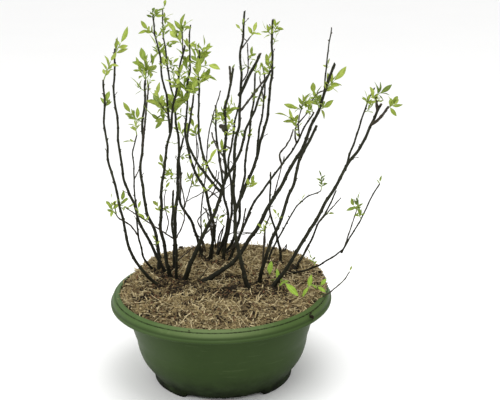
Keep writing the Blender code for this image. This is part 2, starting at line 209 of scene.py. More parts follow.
STEEP_SHARE = 0.12

# A chip's faces: four walls along each half, and its two ends
CHIP_FACES = [(0, 1, 5, 4), (1, 2, 6, 5), (2, 3, 7, 6), (3, 0, 4, 7), (4, 5, 9, 8),
              (5, 6, 10, 9), (6, 7, 11, 10), (7, 4, 8, 11), (3, 2, 1, 0), (8, 9, 10, 11)]

# How a limb's rings are read from its plain solid: how far a ring reaches, and the
# fewest vertices that can be left over as a ring
RING_REACH = 0.014
RING_VERTICES = 6

# A limb's bark: its sides and its rings' steps, its depth in the soil or in its carrier,
# and the foot's flare, which dies away up the limb
BARK_SIDES = 12
BARK_STEP = 0.0026
SEAT_DEPTH = 0.007
CANE_FLARE = 0.55
BOUGH_FLARE = 0.35
FLARE_LENGTH = 0.009

# The bark's relief: swollen nodes, higher at their bud's side; ridges that twist up the
# limb; fine grain; and the heights between which the painted shade low on the canes fades out
FIRST_NODE = 0.03
LAST_NODE = 0.004
NODE_SPACING = (0.015, 0.025)
NODE_SWELL = 0.26
NODE_LENGTH = 0.0016
BUD_SIDE = 0.8
RIDGES = 3
RIDGE_TWIST = 22
BARK_RIDGE = 0.07
BARK_ROUGH = 0.00020
BARK_GRAIN_PITCH = 130
BARK_SHADE_FADE = (0.19, 0.30)

# The slanting cut at a limb's tip, and the bark's rim round it
CUT_SLOPE = 0.8
CUT_RIM = 0.22

# A leaf's outline: how far along it, and its share of the full width there; the columns
# of its blade; and its half width as a share of its length
LEAF_OUTLINE = [(0.08, 0.10), (0.20, 0.50), (0.34, 0.86), (0.50, 1.00),
                (0.66, 0.90), (0.80, 0.62), (0.92, 0.28)]
LEAF_COLUMNS = (-1.0, -0.5, 0.0, 0.5, 1.0)
LEAF_HALF_WIDTH = (0.150, 0.210)

# A shoot's leaves: how many times as many and how many millimetres longer than its row
# in the table says; the range of their length at its sides and at its end; their lean
# from it in degrees, with its scatter; and how far they roll, rise and face upwards
LEAF_PLENTY = 1.5
LEAF_GROWTH = 3.5
SIDE_LEAF = (0.62, 1.02)
END_LEAF = (1.00, 1.22)
SIDE_SPREAD = (56, 13)
END_SPREAD = (14, 8)
LEAF_ROLL = 1.0
LEAF_RISE = 0.15
LEAF_FACING_UP = 0.3
SHOOT_POINTS = 7
SHOOT_BUD = 2.6 * MM

# How likely a bud is at a limb's foot, how much more so at its tip, and the share of the
# buds that stand on a short spur
BUD_CHANCE_LOW = 0.40
BUD_CHANCE_RISE = 0.5
SPUR_SHARE = 0.22

# The crown's bounds: an axis, where the growth starts to be drawn in and where it ends
CROWN_BOUNDS = [(2, 0.660, 0.689), (1, 0.205, 0.2175), (0, -0.190, -0.2005)]

# How thick the bark is at foot and tip, as a share of the plain solid: four tall canes
# taper away, and the other limbs are a little stouter all along
TALL_TAPER = {"cane_left_thick": (1.10, 0.52), "cane_middle_tall": (1.0, 0.60),
              "cane_left_tall": (1.12, 0.78), "cane_middle_front": (1.12, 0.85)}
USUAL_TAPER = (1.18, 1.12)

# How far a limb strays from its smooth line, how quickly, and how far up from its foot
# it starts to stray in full
WANDER = 0.0014
WANDER_PITCH = 45.0
WANDER_START = 0.02

# A thin twig: its points' steps, their scatter, its thickness at foot and tip as shares
# of the usual one, its knobs' swelling and its buds' length in millimetres
TWIG_STEP = 0.004
TWIG_JOG = 0.20 * MM
TWIG_TAPER = (1.3, 0.9)
TWIG_KNOB = 0.28
TWIG_BUD = (1.2, 2.0)

# Thin twigs: each one's limb and how far up it the twig starts, or the mulch and its
# foot (x, y); its tip (x, y, z); its sideways bows at even steps; and its diameter, all
# in millimetres
THIN_TWIGS = [
    ("twig_left_fork", "cane_left_thin", 0.29, (-183, -5, 335), (-1, -11), 2.3),
    ("twig_left_spur", "cane_left_thin", 0.69, (-138, 20, 389), (), 1.8),
    ("twig_left_cross", "cane_left_short", 0.47, (-159, -60, 342), (0,), 2.0),
    ("twig_left_bough", "cane_left_back", 0.64, (-119, 80, 525), (0,), 3.0),
    ("twig_left_low", "cane_left_short", 0.22, (-46, -30, 257), (0,), 1.8),
    ("twig_left_bent", "cane_left_short", 0.44, (-60, -20, 338), (7,), 2.0),
    ("twig_left_tall", "cane_left_tall", 0.96, (-52, -40, 644), (), 1.8),
    ("twig_top_front", "bough_top_front", 0.15, (-94, -70, 527), (), 1.6),
    ("twig_back_left", "cane_back_left", 0.42, (-38, 100, 432), (5, 8, 7), 1.6),
    ("twig_back_tall", "mulch", (-33, 142), (9, 100, 508), (-12, -11, -13), 2.2),
    ("twig_middle_low", "cane_middle_tall", 0.15, (-29, 60, 301), (3,), 1.8),
    ("twig_middle_spur", "cane_middle_back", 0.75, (-8, 170, 412), (-4,), 1.6),
    ("twig_middle_cross", "cane_middle_front", 0.43, (-59, -50, 346), (17, 9), 1.6),
    ("twig_cut_stub", "cane_middle_front", 0.93, (24, -60, 583), (0,), 3.4),
    ("twig_leader_side", "cane_right_leader", 0.65, (93, 50, 544), (0,), 3.2),
    ("twig_leader_top", "cane_right_leader", 0.86, (60, -20, 623), (), 2.1),
    ("twig_leader_stem", "cane_right_leader", 0.75, (55, -30, 615), (8, 7, 4), 1.9),
    ("twig_leader_arch", "cane_right_leader", 0.89, (55, -30, 618), (-5, -6), 1.5),
    ("twig_right_inner", "bough_right_inner", 0.62, (73, -70, 564), (0,), 1.9),
    ("twig_arching_low", "cane_right_arching", 0.64, (143, 130, 425), (-10, -4, 0), 2.8),
    ("twig_arching_high", "cane_right_arching", 0.79, (171, 160, 448), (-8, -11, -6), 2.5),
    ("twig_arching_tip", "cane_right_arching", 0.82, (159, 120, 475), (-4,), 2.0),
    ("twig_long_low", "cane_right_long", 0.43, (121, 60, 393), (0,), 1.9),
    ("twig_crooked_spur", "cane_right_crooked", 0.12, (125, 70, 220), (), 1.6),
    ("twig_long_high", "cane_right_long", 0.89, (168, 30, 500), (3, 4, 3), 1.8),
    ("twig_front_thin", "cane_right_front", 0.11, (79, -30, 280), (0,), 2.9),
    ("twig_short_low", "cane_right_short", 0.06, (163, 20, 234), (0,), 2.0),
    ("twig_short_high", "cane_right_short", 0.60, (223, 50, 314), (0,), 2.0),
    ("twig_low_fork", "cane_low_right_tip", 0.08, (243, -30, 321), (0,), 2.0),
    ("twig_rim_sprig", "mulch", (171, -56), (229, -40, 204), (4, 5, 5), 2.1),
    ("twig_low_bit", "cane_low_right", 0.61, (186, 0, 209), (), 1.6),
    ("twig_far_fork", "cane_far_right", 0.89, (284, -90, 514), (3, 2), 4.2),
    ("twig_far_stub", "cane_far_right", 0.96, (267, -60, 528), (0,), 4.0),
    ("twig_back_a", "mulch", (-13, 124), (-25, 160, 266), (3,), 2.6),
    ("twig_back_b", "mulch", (-8, 129), (9, 150, 232), (0,), 2.4),
    ("twig_back_c", "mulch", (-3, 134), (30, 90, 213), (4,), 2.0),
    ("twig_heart_low", "mulch", (-49, -10), (-23, -20, 212), (), 1.8),
    ("twig_back_d", "mulch", (1, 134), (69, 120, 226), (-26,), 1.6),
    ("twig_back_e", "mulch", (19, 138), (61, 120, 268), (0,), 2.1),
    ("twig_back_f", "mulch", (-28, 136), (-51, 150, 223), (8,), 2.2),
    ("twig_back_g", "mulch", (11, 128), (52, 160, 264), (9,), 2.8),
    ("twig_left_grey", "twig_left_cross", 0.19, (-92, 0, 355), (5, 0, -3), 1.6),
    ("twig_back_bend", "twig_back_tall", 0.15, (-19, 110, 280), (-12, -8), 2.0),
    ("twig_dark_fork", "cane_middle_front", 0.62, (-9, 60, 440), (-3, -4, -3), 2.6),
    ("twig_grey_a", "cane_middle_tall", 0.28, (2, 80, 361), (5, 4), 2.0),
    ("twig_grey_b", "cane_middle_tall", 0.31, (-2, 110, 356), (5, 5), 1.8),
    ("twig_grey_c", "twig_grey_a", 0.07, (22, 90, 334), (0, 1, 2), 1.4),
    ("twig_back_h", "mulch", (-12, 163), (-16, 130, 249), (0,), 2.4),
    ("twig_back_i", "mulch", (-8, 157), (-2, 140, 260), (-3, -3), 2.0),
    ("twig_back_j", "cane_middle_front", 0.25, (-6, 20, 285), (2, 1), 2.2),
    ("twig_back_k", "mulch", (-6, 157), (9, 120, 242), (-3, -4), 2.6),
    ("twig_heart_a", "twig_back_left", 0.55, (-38, 70, 436), (4, 5, 3), 1.8),
    ("twig_heart_b", "bough_middle_high", 0.22, (-27, -10, 424), (-2,), 1.8),
    ("twig_heart_c", "twig_back_tall", 0.48, (-27, 90, 376), (-1,), 2.2),
    ("twig_heart_d", "cane_middle_front", 0.54, (6, 30, 401), (-5,), 2.4),
    ("twig_heart_e", "cane_middle_right", 0.71, (15, 40, 426), (-3,), 2.4),
    ("twig_right_thin", "cane_right_arching", 0.19, (60, 100, 275), (0, 1, 0), 1.3),
    ("twig_right_flat", "cane_back_right", 0.13, (68, 40, 254), (2, 0), 1.6),
    ("twig_centre_right", "twig_front_thin", 0.56, (91, -20, 312), (0, -3, -4, -2), 2.4),
    ("twig_peg", "twig_crooked_spur", 0.14, (124, 60, 222), (3,), 2.6),
    ("twig_arch_stub", "cane_right_low_back", 0.51, (129, 80, 272), (), 1.6),
    ("twig_left_fork_b", "cane_back_left", 0.53, (-64, 40, 374), (-1, -2), 1.8),
    ("twig_left_fork_c", "twig_left_bent", 1.0, (-68, 40, 367), (0, -1), 1.8),
    ("twig_dead_snag", "cane_middle_front", 0.73, (6, -40, 477), (1,), 7.0),
    ("twig_snag_knob", "cane_middle_front", 0.73, (11, -40, 478), (), 4.5),
]

# Leafy green shoots on each limb or twig: how far up it, the shoot's tip from its foot
# to the right and up in millimetres, and the number and length of its leaves, which
# LEAF_PLENTY and LEAF_GROWTH then raise
TUFTS = {
    "bough_far_right": [(0.69, 9, 6, 3, 11), (0.77, 1, 12, 5, 13)],
    "bough_front_left": [(0.27, 4, 3, 2, 8), (0.31, 16, 14, 5, 17), (0.99, 1, 10, 3, 14)],
    "bough_front_right": [(0.67, 4, 5, 2, 8)],
    "bough_middle_high": [(0.73, -1, 26, 7, 22), (0.81, 13, -1, 3, 16),
        (0.86, -2, 17, 6, 23), (0.88, 17, 4, 2, 20), (0.92, 10, 23, 5, 17),
        (0.93, 12, 11, 4, 15), (0.98, -8, 5, 4, 12)],
    "bough_right_inner": [(0.58, -4, 13, 4, 9), (0.93, -1, 9, 2, 9)],
    "bough_right_top": [(0.13, 11, 9, 5, 15), (0.70, -4, 22, 6, 15), (0.76, -4, 13, 2, 12),
        (0.86, 7, 11, 3, 10), (0.91, -8, 9, 5, 14), (0.92, 7, 15, 5, 13)],
    "bough_right_whip": [(0.31, 3, 7, 2, 8)],
    "bough_top_front": [(0.12, -14, 17, 3, 22), (0.55, 4, 12, 3, 10),
        (0.63, -6, 19, 5, 18), (0.80, 5, 8, 3, 12), (0.85, -11, 7, 6, 15),
        (0.95, -1, 18, 5, 10), (0.96, 8, 18, 5, 15)],
    "cane_back_left": [(0.99, -10, 19, 5, 14), (1.00, 7, 15, 3, 12)],
    "cane_back_right": [(0.64, 3, 9, 3, 11), (0.84, 2, 18, 5, 14), (0.98, 2, 11, 4, 12)],
    "cane_left_back": [(0.13, -3, 13, 3, 11), (0.78, -20, 20, 5, 18),
        (0.94, -11, 14, 4, 16), (0.94, 4, 4, 2, 12), (1.00, -11, 18, 4, 18),
        (1.00, -1, 29, 6, 25), (1.00, 8, 25, 4, 24), (1.00, 13, 21, 4, 18)],
    "cane_left_front": [(0.43, 5, 14, 3, 16), (0.43, 14, 1, 3, 9), (0.87, 3, 12, 4, 17),
        (0.99, 13, 31, 7, 15)],
    "cane_left_outer": [(0.96, 11, 22, 4, 25)],
    "cane_left_tall": [(0.30, -5, 13, 3, 13), (0.31, 14, 6, 4, 10), (0.39, 8, 8, 2, 9),
        (0.48, 8, -1, 3, 8), (0.49, -3, 10, 3, 14), (0.70, -25, 0, 4, 26),
        (0.71, 1, 17, 7, 20), (0.74, -10, 10, 4, 16), (0.82, -4, 12, 4, 18),
        (0.85, 4, 20, 5, 15)],
    "cane_left_thick": [(0.25, 5, -9, 2, 10), (0.37, -19, -4, 3, 10),
        (0.38, -17, 7, 5, 14), (0.45, 9, 0, 3, 9), (0.50, -14, 0, 2, 6),
        (0.62, 2, 23, 7, 20), (0.74, 10, 11, 3, 9), (0.77, 12, -2, 3, 10),
        (0.78, -1, 15, 7, 20), (0.78, 9, 8, 4, 11), (0.83, -7, 12, 5, 9),
        (0.86, 9, 4, 3, 8), (0.89, 4, 25, 5, 12), (0.95, 4, 5, 3, 14), (0.99, 3, 7, 2, 8)],
    "cane_left_thin": [(0.96, -5, 0, 2, 11), (1.00, 1, 25, 7, 15)],
    "cane_low_right": [(0.46, -7, 20, 3, 9)],
    "cane_low_right_tip": [(0.48, -8, 23, 5, 11), (0.98, 1, 4, 1, 8)],
    "cane_middle_back": [(0.85, -4, 11, 4, 9), (0.89, 2, 16, 4, 10),
        (0.28, -11, 10, 2, 12)],
    "cane_middle_front": [(0.28, -4, 12, 2, 8), (0.63, -3, 10, 4, 12),
        (0.69, 3, 14, 5, 13), (0.76, -9, 10, 4, 11), (0.77, -1, 18, 6, 16),
        (0.79, 8, 15, 4, 17)],
    "cane_middle_right": [(0.78, 1, 11, 3, 12), (0.83, -6, 16, 5, 13),
        (0.95, -7, 4, 2, 10)],
    "cane_middle_tall": [(0.35, -4, 13, 5, 14), (0.47, -1, -2, 2, 8),
        (0.64, -15, 7, 3, 14), (0.65, 6, 5, 3, 12), (0.68, -9, 20, 7, 20),
        (0.72, -6, 22, 8, 22), (0.72, 11, 18, 6, 22), (0.78, -1, 22, 4, 14),
        (0.82, -9, 23, 5, 16), (0.89, -2, 12, 3, 15)],
    "cane_right_arching": [(0.81, 1, 5, 2, 8), (0.99, -4, 6, 3, 12)],
    "cane_right_crooked": [(0.45, -7, 0, 2, 8)],
    "cane_right_front": [(0.43, -8, 13, 3, 9)],
    "cane_right_leader": [(0.58, 8, 4, 3, 10), (0.92, -5, 7, 2, 7), (0.94, 0, 6, 2, 5)],
    "cane_right_long": [(0.81, -5, 22, 7, 16), (0.82, -13, 32, 3, 20),
        (0.82, 7, -1, 2, 18), (0.87, 11, 17, 6, 18), (0.90, 14, 9, 5, 26)],
    "cane_right_low_back": [(0.70, 6, 6, 2, 9), (1.00, 2, 25, 7, 11)],
    "twig_arching_high": [(0.57, -18, 9, 3, 24), (1.00, 2, 19, 6, 16)],
    "twig_arching_tip": [(0.16, -8, 23, 5, 15), (0.74, 0, 6, 3, 8), (0.89, -8, 0, 2, 20),
        (0.89, 5, 13, 6, 20), (1.00, 8, 11, 4, 13)],
    "twig_back_left": [(0.28, 10, 10, 4, 13), (0.37, -7, 12, 5, 12), (0.90, -4, 22, 6, 13)],
    "twig_back_tall": [(0.65, 6, 8, 2, 8)],
    "twig_cut_stub": [(0.29, 2, 10, 2, 9)],
    "twig_far_fork": [(0.83, 10, 8, 6, 16)],
    "twig_far_stub": [(0.29, -6, 16, 5, 13), (0.43, 4, 0, 2, 7), (0.86, 8, 3, 5, 20)],
    "twig_front_thin": [(1.00, -4, 8, 5, 12)],
    "twig_leader_stem": [(0.36, 3, 5, 2, 7), (0.42, -5, 6, 3, 11), (0.54, 5, 8, 3, 12)],
    "twig_leader_top": [(0.86, 6, 8, 4, 13)],
    "twig_left_bough": [(0.97, 3, 10, 3, 9)],
    "twig_left_cross": [(0.52, -5, 6, 3, 10), (0.77, 2, 11, 2, 9)],
    "twig_left_fork": [(0.66, -6, 30, 7, 14)],
    "twig_left_tall": [(0.22, -9, 16, 6, 24), (0.67, -2, 15, 6, 17), (0.89, 6, 6, 2, 13)],
    "twig_low_fork": [(0.89, 0, 22, 6, 13), (1.00, -6, 4, 2, 15)],
    "twig_middle_cross": [(0.48, 7, 7, 2, 9)],
    "twig_right_inner": [(1.00, 1, 11, 3, 11)],
    "twig_back_k": [(1.00, -15, 18, 4, 10)],
    "twig_right_flat": [(1.00, 7, -1, 2, 9)],
    "twig_rim_sprig": [(0.94, 3, 4, 1, 5)],
    "twig_short_high": [(0.29, 6, 3, 2, 9)],
    "twig_top_front": [(0.27, -12, 21, 6, 20), (1.00, -1, 14, 3, 16)],
}

# Bright leaves low on the front right, which lie over the mulch: base and tip in
# millimetres; and the courses of the two green shoots that carry them
LOW_LEAVES = [((89, 12, 182), (90, 21, 204)), ((104, -18, 184), (101, -10, 201)),
              ((105, -33, 183), (120, -29, 187)), ((111, -80, 204), (131, -90, 183)),
              ((153, -85, 196), (140, -88, 182)), ((154, -65, 186), (158, -59, 207)),
              ((158, -61, 192), (168, -66, 186)), ((169, -62, 187), (183, -67, 180)),
              ((175, -57, 186), (185, -55, 198)), ((97, -23, 194), (111, -24, 188)),
              ((110, -48, 190), (103, -49, 186))]
LOW_SHOOTS = [((91, -3, 178), (101, -23, 188), (109, -53, 196), (113, -78, 203)),
              ((140, -78, 176), (154, -75, 194), (168, -64, 189), (177, -60, 187))]
LOW_FACING = np.array([0.0, -0.6, 0.8])
LOW_SHOOT_POINTS = 14
LOW_LENGTH = 1.1
LOW_ROLL = 0.25
LOW_BREADTH = 1.05

# The leaves' tones, how often a shoot has each, and the tone that some of its leaves
# have instead; the bright one is only for the low leaves
TONES = {
    "lime": (0.330, 0.410, 0.062),
    "fresh": (0.255, 0.335, 0.037),
    "mid": (0.190, 0.265, 0.026),
    "deep": (0.130, 0.195, 0.020),
    "bright": (0.235, 0.370, 0.030),
}
TONE_SHARES = {"lime": 4, "fresh": 6, "mid": 5, "deep": 1}
NEXT_TONES = {"lime": "fresh", "fresh": "lime", "mid": "fresh", "deep": "mid"}
OWN_TONE_SHARE = 0.80


# Shader maths

class Field:
    """What a shader socket carries over a surface, for use in Python's own maths."""

    def __init__(self, finish, socket):
        self.finish = finish
        self.socket = socket

    def worked(self, operation, *terms):
        return self.finish.node("ShaderNodeMath", {"operation": operation},
                                dict(enumerate(terms)))

    def __add__(self, other):
        return self.worked("ADD", self, other)

    def __sub__(self, other):
        return self.worked("SUBTRACT", self, other)

    def __rsub__(self, other):
        return self.worked("SUBTRACT", other, self)

    def __mul__(self, other):
        return self.worked("MULTIPLY", self, other)

    def __pow__(self, other):
        return self.worked("POWER", self, other)

    def __abs__(self):
        return self.worked("ABSOLUTE", self)

    __radd__ = __add__
    __rmul__ = __mul__


class Finish:
    """A procedural material: one Principled shader and the nodes that vary it."""

    def __init__(self, name, ior=1.45, shine=0.5):
        self.material = bpy.data.materials.new(name)
        self.material.use_nodes = True
        self.tree = self.material.node_tree
        self.shader = self.tree.nodes["Principled BSDF"]
        self.shader.inputs["IOR"].default_value = ior
        self.shader.inputs["Specular IOR Level"].default_value = shine

    def feed(self, socket, value):
        """Give a socket a link or a plain value."""
        if isinstance(value, Field):
            self.tree.links.new(value.socket, socket)
        elif isinstance(value, tuple) and len(value) == 3 and socket.type == "RGBA":
            socket.default_value = (*value, 1.0)
        else:
            socket.default_value = value

    def node(self, kind, settings, sockets, output=0):
        """Any node: its settings come first, then its sockets' values or links."""
        made = self.tree.nodes.new(kind)
        for setting, value in settings.items():
            setattr(made, setting, value)
        for socket, value in sockets.items():
            self.feed(made.inputs[socket], value)
        return Field(self, made.outputs[output])

    def place(self, stretch=(1.0, 1.0, 1.0)):
        """Object coordinates, stretched by a Mapping node."""
        spot = self.node("ShaderNodeTexCoord", {}, {}, "Object")
        return self.node("ShaderNodeMapping", {}, {"Vector": spot, "Scale": stretch})

    def speckle(self, where, scale, detail=3.0, roughness=0.5):
        """A noise pattern from 0 to 1."""
        return self.node("ShaderNodeTexNoise", {},
                         {"Vector": where, "Scale": scale, "Detail": detail,
                          "Roughness": roughness})

    def span(self, value, low, high):
        """0 below the low value, 1 above the high one and a slope between."""
        return self.node("ShaderNodeMapRange", {},
                         {"Value": value, "From Min": low, "From Max": high})

    def part(self, vector, axis):
        """One axis of a vector."""
        return self.node("ShaderNodeSeparateXYZ", {}, {"Vector": vector}, axis)

    def mix(self, first, second, share):
        """A colour between two others."""
        return self.node("ShaderNodeMix", {"data_type": "RGBA"},
                         {0: share, 6: first, 7: second}, 2)

    def paint(self, colour, roughness, relief=None, depth=0.0005):
        """Feed the shader its varying colour, roughness and bump."""
        self.feed(self.shader.inputs["Base Color"], colour)
        self.feed(self.shader.inputs["Roughness"], roughness)
        if relief is not None:
            bump = self.node("ShaderNodeBump", {}, {"Height": relief, "Distance": depth})
            self.feed(self.shader.inputs["Normal"], bump)
        return self.material


def rim_green(finish, place, scuff, splash):
    """The rim's green: painted lighter at the left and darker at the right as painted light and
    shade, dusty in front, and darkened with painted shade where it is hollow and in its groove.
    """
    side = finish.part(place, "X")
    depth = finish.part(place, "Y")
    height = finish.part(place, "Z")
    painted_lit_green = finish.mix((0.056, 0.100, 0.028), (0.076, 0.120, 0.040), scuff)
    fresh = finish.mix((0.044, 0.078, 0.019), (0.064, 0.100, 0.028), scuff)
    # painted light and shade: the rim is painted lighter at the left, where light falls, and
    # darker towards the right, where it is in shade
    colour = finish.mix(painted_lit_green, fresh, finish.span(side, -0.02, 0.16))
    front = finish.span(depth, -0.06, -0.16) * finish.span(height, *DUST_FROM)
    middle = 1 - finish.span(abs(side + 0.01), 0.02, 0.11)
    dusty = front * middle * 0.50 + finish.span(splash, 0.55, 0.72) * front * 0.35
    colour = finish.mix(colour, (0.160, 0.205, 0.088), dusty)
    # painted shade: the rim is darkened in its groove and in the hollow under its lip
    radius = (side * side + depth * depth) ** 0.5
    groove = 1 - finish.span(abs(radius - GROOVE_RADIUS), *GROOVE_SHADE)
    hollow = finish.span(height, *HOLLOW_UPPER) * finish.span(height, *HOLLOW_LOWER)
    return finish.mix(colour, (0.016, 0.028, 0.008), groove * 0.50 + hollow * 0.55)


def pot_plastic():
    """Matt green plastic, clouded and scuffed, dusty on the rim, painted paler at the left as
    painted light, and darkened towards the foot by soil splashes and painted shade.
    """
    finish = Finish("pot_plastic", ior=1.40, shine=0.08)
    place = finish.place()
    height = finish.part(place, "Z")
    cloud = finish.speckle(place, 11.0, 4.0, 0.6)
    grain = finish.speckle(place, 420.0, 2.0)
    scuff = finish.speckle(finish.place((22.0, 22.0, 190.0)), 1.0, 4.0, 0.65)
    splash = finish.speckle(place, 38.0, 5.0, 0.7)
    green = finish.mix((0.024, 0.043, 0.012), (0.040, 0.066, 0.020), cloud)
    # painted light: the wall is painted paler towards the left, where light falls on it
    left = finish.span(finish.part(place, "X"), -0.06, -0.16)
    green = finish.mix(green, (0.052, 0.078, 0.031), left * 0.80)
    rim = rim_green(finish, place, scuff, splash)
    colour = finish.mix(green, rim, finish.span(height, *RIM_BLEND))
    worn = finish.span(scuff, 0.60, 0.74) * 0.22
    colour = finish.mix(colour, (0.120, 0.160, 0.072), worn)
    # painted shade and soil: the wall darkens towards the foot, partly in speckled soil
    # splashes and partly in an even painted shade
    foot = 1 - finish.span(height, 0.0, SOIL_AND_SHADE_BELOW)
    soil_and_shade = foot * finish.span(splash, 0.30, 0.75) * 0.80 + foot ** 2 * 0.65
    colour = finish.mix(colour, (0.006, 0.0075, 0.004), soil_and_shade)
    roughness = grain * 0.10 + scuff * 0.12 + soil_and_shade * 0.25 + 0.33
    relief = grain * 0.5 + scuff * 0.6
    return finish.paint(colour, roughness, relief, 0.00012)


def cane_bark():
    """Dark greenish brown bark with fine streaks up the cane and dull grey patches."""
    finish = Finish("cane_bark", ior=1.4, shine=0.15)
    place = finish.place()
    streak = finish.speckle(finish.place((900.0, 900.0, 90.0)), 1.0, 4.0, 0.65)
    patch = finish.speckle(place, 42.0, 4.0, 0.6)
    spot = finish.speckle(place, 620.0, 2.0)
    colour = finish.mix((0.0088, 0.0090, 0.0050), (0.028, 0.029, 0.016), streak)
    colour = finish.mix(colour, (0.050, 0.055, 0.030), finish.span(patch, 0.50, 0.72) * 0.55)
    colour = finish.mix(colour, (0.085, 0.075, 0.055), finish.span(spot, 0.66, 0.78) * 0.5)
    # painted shade: the bark is painted darker low down, towards the canes' feet
    low = 1 - finish.span(finish.part(place, "Z"), *BARK_SHADE_FADE)
    colour = finish.mix(colour, (0.0055, 0.0042, 0.0026), low * 0.55)
    roughness = streak * 0.25 + 0.52
    return finish.paint(colour, roughness, streak + spot * 0.4, 0.00025)


def cut_wood():
    """The weathered end of a pruned cane: pale rings gone grey-brown."""
    finish = Finish("cut_wood", ior=1.4)
    place = finish.place()
    stain = finish.speckle(place, 700.0, 3.0)
    colour = finish.mix((0.14, 0.105, 0.060), (0.040, 0.030, 0.018), stain)
    return finish.paint(colour, stain * 0.2 + 0.75, stain, 0.0002)


def twig_bark():
    """Thin reddish brown bark of last year's twigs."""
    finish = Finish("twig_bark", ior=1.42, shine=0.25)
    streak = finish.speckle(finish.place((1100.0, 1100.0, 160.0)), 1.0, 3.0)
    patch = finish.speckle(finish.place(), 60.0, 3.0)
    colour = finish.mix((0.016, 0.013, 0.008), (0.050, 0.038, 0.024), streak)
    colour = finish.mix(colour, (0.045, 0.052, 0.020), finish.span(patch, 0.50, 0.70) * 0.6)
    return finish.paint(colour, streak * 0.2 + 0.5, streak, 0.0002)


def bud_scales():
    """Red-brown bud scales with paler green edges."""
    finish = Finish("bud_scales", ior=1.42)
    stain = finish.speckle(finish.place(), 480.0, 3.0)
    green = finish.span(stain, 0.4, 0.7)
    colour = finish.mix((0.055, 0.030, 0.018), (0.110, 0.120, 0.035), green)
    return finish.paint(colour, stain * 0.2 + 0.5, stain, 0.0002)


def green_shoot():
    """The soft skin of this spring's shoots, faintly streaked."""
    finish = Finish("green_shoot", ior=1.42)
    streak = finish.speckle(finish.place((700.0, 700.0, 120.0)), 1.0, 3.0)
    colour = finish.mix((0.150, 0.235, 0.035), (0.270, 0.350, 0.075), streak)
    return finish.paint(colour, streak * 0.15 + 0.42, streak, 0.00015)


def leaf_skin(tone, base):
    """A young leaf of one tone: a pale midrib, faint side veins and a mottled blade."""
    finish = Finish("leaf_" + tone, ior=1.45, shine=0.22)
    where = finish.node("ShaderNodeUVMap", {"uv_map": "blade"}, {})
    along = finish.part(where, "X")
    across = abs(finish.part(where, "Y") - 0.5)
    rib = 1 - finish.span(across, 0.012, 0.075)
    vein = finish.node("ShaderNodeMath", {"operation": "SINE"},
                       {0: (along - across * 0.9) * 62.0})
    vein = finish.span(vein, 0.45, 1.0) * (1 - rib)
    mottle = finish.speckle(finish.place(), 150.0, 3.0)
    shade = tuple(channel * 0.72 for channel in base)
    light = tuple(min(1.0, channel * 1.22 + 0.02) for channel in base)
    rib_tone = tuple(min(1.0, channel * 1.35 + 0.06) for channel in base)
    colour = finish.mix(shade, light, finish.span(mottle, 0.25, 0.75))
    colour = finish.mix(colour, light, vein * 0.30)
    colour = finish.mix(colour, rib_tone, rib * 0.75)
    roughness = mottle * 0.12 + 0.40
    return finish.paint(colour, roughness, vein * -0.5 - rib, 0.0002)


def bed_fibre():
    """The fine stuff under the chips: tan where dry, and nearly black where it is painted dark
    for damp and painted shade.
    """
    finish = Finish("bed_fibre", ior=1.38, shine=0.2)
    place = finish.place()
    damp_and_shade = finish.node("ShaderNodeAttribute", {"attribute_name": "damp_and_shade"}, {}, "Fac")
    grain = finish.speckle(place, 330.0, 5.0, 0.75)
    crumb = finish.speckle(place, 130.0, 4.0, 0.7)
    dry_grain = finish.span(grain, 0.32, 0.68)
    wet_grain = finish.span(grain, 0.35, 0.70)
    dry = finish.mix((0.060, 0.041, 0.018), (0.300, 0.228, 0.112), dry_grain)
    wet = finish.mix((0.008, 0.006, 0.004), (0.075, 0.052, 0.027), wet_grain)
    # damp and painted shade darken the bed
    colour = finish.mix(dry, wet, finish.span(damp_and_shade + crumb * 0.5, 0.45, 0.95))
    return finish.paint(colour, crumb * 0.1 + 0.85, grain + crumb, 0.0009)


def wood_fibre(name, dark, light):
    """Shredded wood and bark of one tone, with its grain."""
    finish = Finish(name, ior=1.38, shine=0.2)
    place = finish.place()
    grain = finish.speckle(place, 420.0, 4.0, 0.7)
    patch = finish.speckle(place, 55.0, 3.0)
    colour = finish.mix(dark, light, finish.span(grain, 0.30, 0.72))
    colour = finish.mix(colour, dark, finish.span(patch, 0.52, 0.75) * 0.5)
    return finish.paint(colour, patch * 0.15 + 0.8, grain, 0.0006)


def pale_floor():
    """A plain pale studio floor, very faintly mottled."""
    finish = Finish("pale_floor")
    cloud = finish.speckle(finish.place(), 2.0, 2.0)
    return finish.paint(finish.mix((0.93, 0.93, 0.925), (0.95, 0.95, 0.945), cloud), 0.85)


# Making pieces

def add_piece(name, mesh, materials, slot, *nodes):
    """A piece of the object that rides on its one body and stands for CAD nodes."""
    for material in materials:
        mesh.materials.append(material)
    thing = bpy.data.objects.new(name, mesh)
    bpy.context.scene.collection.objects.link(thing)
    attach(thing, "root")
    if nodes:
        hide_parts(*nodes)


def mesh_from(bm, name):
    """A smooth-shaded mesh from a bmesh, which is freed."""
    mesh = bpy.data.meshes.new(name)
    bm.to_mesh(mesh)
    bm.free()
    mesh.shade_smooth()
    return mesh


def held(value, low=0.0, high=1.0):
    """The value, held between two others."""
    return min(high, max(low, value))


def around(angle, reach):
    """The place at a distance from the pot's axis, in one direction."""
    return reach * math.cos(angle), reach * math.sin(angle)


def draw_in(vertex, share):
    """Move a point level towards the pot's axis, or away from it."""
    vertex.co.x *= share
    vertex.co.y *= share


def level_arrow(heading):
    """A level arrow of length one."""
    return np.array([math.cos(heading), math.sin(heading), 0])


def rolled(first, second, angle):
    """Two arrows at a right angle, both turned within their plane."""
    return (first * math.cos(angle) + second * math.sin(angle),
            second * math.cos(angle) - first * math.sin(angle))


def unit(arrow):
    """The same arrow at length one."""
    return arrow / np.linalg.norm(arrow, axis=-1, keepdims=True)


